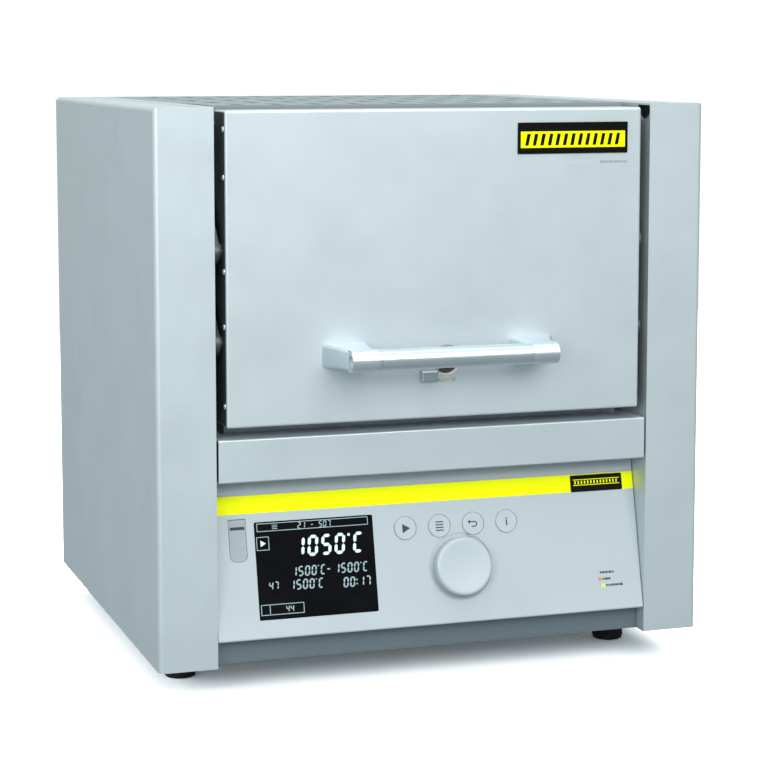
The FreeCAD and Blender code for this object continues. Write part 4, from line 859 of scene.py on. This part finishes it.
# ---------------------------------------------------------------- feet and fasteners
def feet():
    """Ribbed rubber feet with a rounded tread."""
    low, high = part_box("rubber_feet")
    radius = 12 * MM
    height = high.z
    places = [(x, y) for x in (low.x + radius, high.x - radius) for y in (low.y + radius, high.y - radius)]
    profile = [(6.5 * MM, 6 * MM), (6.5 * MM, 0.4 * MM), (6.9 * MM, 0), (9.6 * MM, 0), (10.4 * MM, 0.5 * MM),
               (10.7 * MM, 1.6 * MM)]
    ribs = 5
    for k in range(ribs):
        z = 3.0 * MM + k * (height - 6 * MM) / ribs
        r = radius - 1.1 * MM * (1 - z / height)
        profile += [(r, z), (r, z + 1.8 * MM), (r - 0.6 * MM, z + 2.2 * MM), (r - 0.6 * MM, z + 3.0 * MM)]
    profile += [(radius, height - 2.4 * MM), (radius, height - 0.2 * MM), (3.0 * MM, height - 0.2 * MM),
                (3.0 * MM, 6 * MM), (6.5 * MM, 6 * MM)]

    def build(made):
        for x, y in places:
            add_ring(made, profile, Matrix.Translation((x, y, 0)), 48)
    piece = add_piece("feet", mesh_from("feet", build), RUBBER, "housing", 35)
    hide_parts("rubber_feet")


def add_screw_head(made, plane, radius, height):
    """Domed head, its seat on the plane."""
    dome = [(0, 0), (radius, 0), (radius, height * 0.35)]
    for k in range(1, 6):
        a = math.pi / 2 * k / 5
        dome.append((radius * math.cos(a) * 0.999, height * (0.35 + 0.65 * math.sin(a))))
    dome[-1] = (0, height)
    add_lathe(made, dome, plane, 32)


def rear_screws():
    """Domed heads of the rear panel's screws with their cross slots, in place of the plain ones."""
    low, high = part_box("rear_screws")
    radius = 3.6 * MM
    rows = 4
    pitch = (high.z - low.z - 2 * radius) / (rows - 1)
    heads = [Vector((x, BACK, low.z + radius + k * pitch))
             for x in (low.x + radius, high.x - radius) for k in range(rows)]

    def build_heads(made):
        for place in heads:
            add_screw_head(made, Matrix.Translation(place) @ FACING_REAR, radius, 2.2 * MM)

    def build_slots(made):
        generator = random.Random(7)
        for place in heads:
            turn = Matrix.Rotation(generator.uniform(0, math.pi), 4, "Z")
            plane = Matrix.Translation(place) @ FACING_REAR @ turn
            add_prism(made, cross_outline(1.9 * MM, 0.35 * MM), plane, 1.2 * MM, 2.24 * MM)
    piece = add_piece("rear_screw_heads", mesh_from("rear_screw_heads", build_heads), SCREW,
                      "housing", 50)
    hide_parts("rear_screws")
    add_piece("rear_screw_slots", mesh_from("rear_screw_slots", build_slots), BLACK, "housing")


def rocker_marks():
    """Bar and circle signs on the mains rocker."""
    low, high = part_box("mains_rocker")
    middle = (low + high) / 2
    tilt = ROCKER_TILT
    quarter = (high.z - low.z) * 0.24
    for name, side in (("on", 1), ("off", -1)):
        slope = -tilt + side * -tilt
        rise = 3.6 * MM + quarter * math.tan(tilt)
        place = Vector((middle.x, BACK - ROCKER_PIVOT_DEPTH + rise, middle.z + side * quarter))
        place = rocker_turn(place, middle, -tilt)
        plane = Matrix.Translation(place) @ Matrix.Rotation(slope, 4, "X") @ FACING_REAR
        if name == "on":
            shapes = [rectangle(0, 0, 0.8 * MM, 4.0 * MM)]
        else:
            shapes = [arc_band(0, 0, 1.8 * MM, 0.6 * MM, 0, 179.9),
                      arc_band(0, 0, 1.8 * MM, 0.6 * MM, 180, 359.9)]
        flat_piece("rocker_mark_" + name, shapes, plane, -0.05 * MM, 0.06 * MM, WHITE_INK,
                   "mains_rocker")


def rocker_turn(place, middle, angle):
    """Turns a point about the rocker's pivot line, which runs along x."""
    pivot = Vector((middle.x, BACK - ROCKER_PIVOT_DEPTH, middle.z))
    return pivot + Matrix.Rotation(angle, 3, "X") @ (place - pivot)


# ---------------------------------------------------------------- camera, light, floor
def camera():
    """Long lens, to the left of the front and a little above."""
    yaw, pitch = math.radians(18.47), math.radians(6.48)
    right = Vector((math.cos(yaw), -math.sin(yaw), 0))
    ahead = Vector((math.sin(yaw) * math.cos(pitch), math.cos(yaw) * math.cos(pitch), -math.sin(pitch)))
    up = right.cross(ahead)
    data = bpy.data.cameras.new("camera")
    data.lens, data.sensor_width, data.shift_y = 104.99, 36.0, -0.10
    view = bpy.data.objects.new("camera", data)
    view.location = BODY_MIDDLE + 0.0180 * right + 0.0311 * up - 1.6597 * ahead
    view.rotation_euler = ahead.to_track_quat("-Z", "Y").to_euler()
    bpy.context.scene.collection.objects.link(view)
    bpy.context.scene.camera = view


def area_light(name, place, target, size, power):
    """A rectangular soft light that faces a target."""
    data = bpy.data.lights.new(name, "AREA")
    data.shape = "RECTANGLE"
    data.size, data.size_y = size
    data.energy = power
    light = bpy.data.objects.new(name, data)
    light.location = place
    light.rotation_euler = (Vector(target) - Vector(place)).to_track_quat("-Z", "Y").to_euler()
    bpy.context.scene.collection.objects.link(light)


def split_by_ray(tree, for_others, for_camera, target):
    """On the stage only: the camera sees one shader, and all other rays meet the other."""
    mix = tree.nodes.new("ShaderNodeMixShader")
    path = tree.nodes.new("ShaderNodeLightPath")
    tree.links.new(path.outputs["Is Camera Ray"], mix.inputs[0])
    tree.links.new(for_others, mix.inputs[1])
    tree.links.new(for_camera, mix.inputs[2])
    tree.links.new(mix.outputs[0], target)


def floor_white():
    """White to the camera, with a shade that stays pale, and darker in what the object reflects."""
    surface = Surface("floor_white", (0.88, 0.90, 0.91), 0.7, 0.0, Specular_IOR_Level=0.0)
    surface.tint(surface.ramp(surface.noise(400, 2), 0.4, 0.7, 0.0, 0.04), (0.80, 0.82, 0.84))
    surface.shader.inputs["Emission Color"].default_value = (0.80, 0.95, 1.0, 1)
    surface.shader.inputs["Emission Strength"].default_value = 0.06
    tree = surface.tree
    dull = tree.nodes.new("ShaderNodeBsdfDiffuse")
    dull.inputs["Color"].default_value = (0.20, 0.23, 0.24, 1)
    extra = tree.nodes.new("ShaderNodeBsdfDiffuse")
    extra.inputs["Color"].default_value = (0.92, 0.94, 0.95, 1)
    bright = tree.nodes.new("ShaderNodeAddShader")
    tree.links.new(surface.shader.outputs[0], bright.inputs[0])
    tree.links.new(extra.outputs[0], bright.inputs[1])
    split_by_ray(tree, dull.outputs[0], bright.outputs[0], tree.nodes["Material Output"].inputs["Surface"])
    return surface.material


def surroundings():
    """Pale even light from all round, and pure white behind the object."""
    world = bpy.data.worlds.new("surroundings")
    world.use_nodes = True
    tree = world.node_tree
    ambient = tree.nodes["Background"]
    ambient.inputs["Color"].default_value = (0.88, 0.96, 1.0, 1)
    ambient.inputs["Strength"].default_value = 0.42
    seen = tree.nodes.new("ShaderNodeBackground")
    seen.inputs["Color"].default_value = (1, 1, 1, 1)
    seen.inputs["Strength"].default_value = 1.05
    split_by_ray(tree, ambient.outputs[0], seen.outputs[0], tree.nodes["World Output"].inputs["Surface"])
    bpy.context.scene.world = world


def studio():
    """White surroundings, a bright floor, a soft sun from above and four large soft lights."""
    surroundings()
    size = 3.6
    mesh = mesh_from("floor", lambda made: add_prism(made, rectangle(0, 0, size, size),
                                                     Matrix.Identity(4), -0.02, 0.0))
    mesh.materials.append(floor_white())
    floor = bpy.data.objects.new("floor", mesh)
    bpy.context.scene.collection.objects.link(floor)

    area_light("overhead", (0, 0, 2.4), (0, 0, 0), (4.0, 4.0), 40)
    sun = bpy.data.lights.new("sun", "SUN")
    sun.energy, sun.angle = 1.5, math.radians(8)
    bpy.context.scene.collection.objects.link(bpy.data.objects.new("sun", sun))
    area_light("key", (0.2, -2.2, 1.4), (0, 0, 0.25), (1.8, 1.2), 34)
    area_light("front_fill", (-1.1, -1.6, 0.7), (0, 0, 0.15), (1.2, 0.8), 13)
    area_light("side_fill", (-2.2, 0.1, 1.3), (0, 0, 0.3), (1.6, 1.0), 20)
    bpy.context.scene.view_settings.view_transform = "Standard"


# ---------------------------------------------------------------- making
camera()
give_materials()
display_content()
key_icons()
key_rings()
jog_dial()
panel_marks()
door_badge()
handle_brackets()
handle_grip()
feet()
rear_screws()
rocker_marks()
door_screws()
inlet_mouth()
flap_face()
studio()
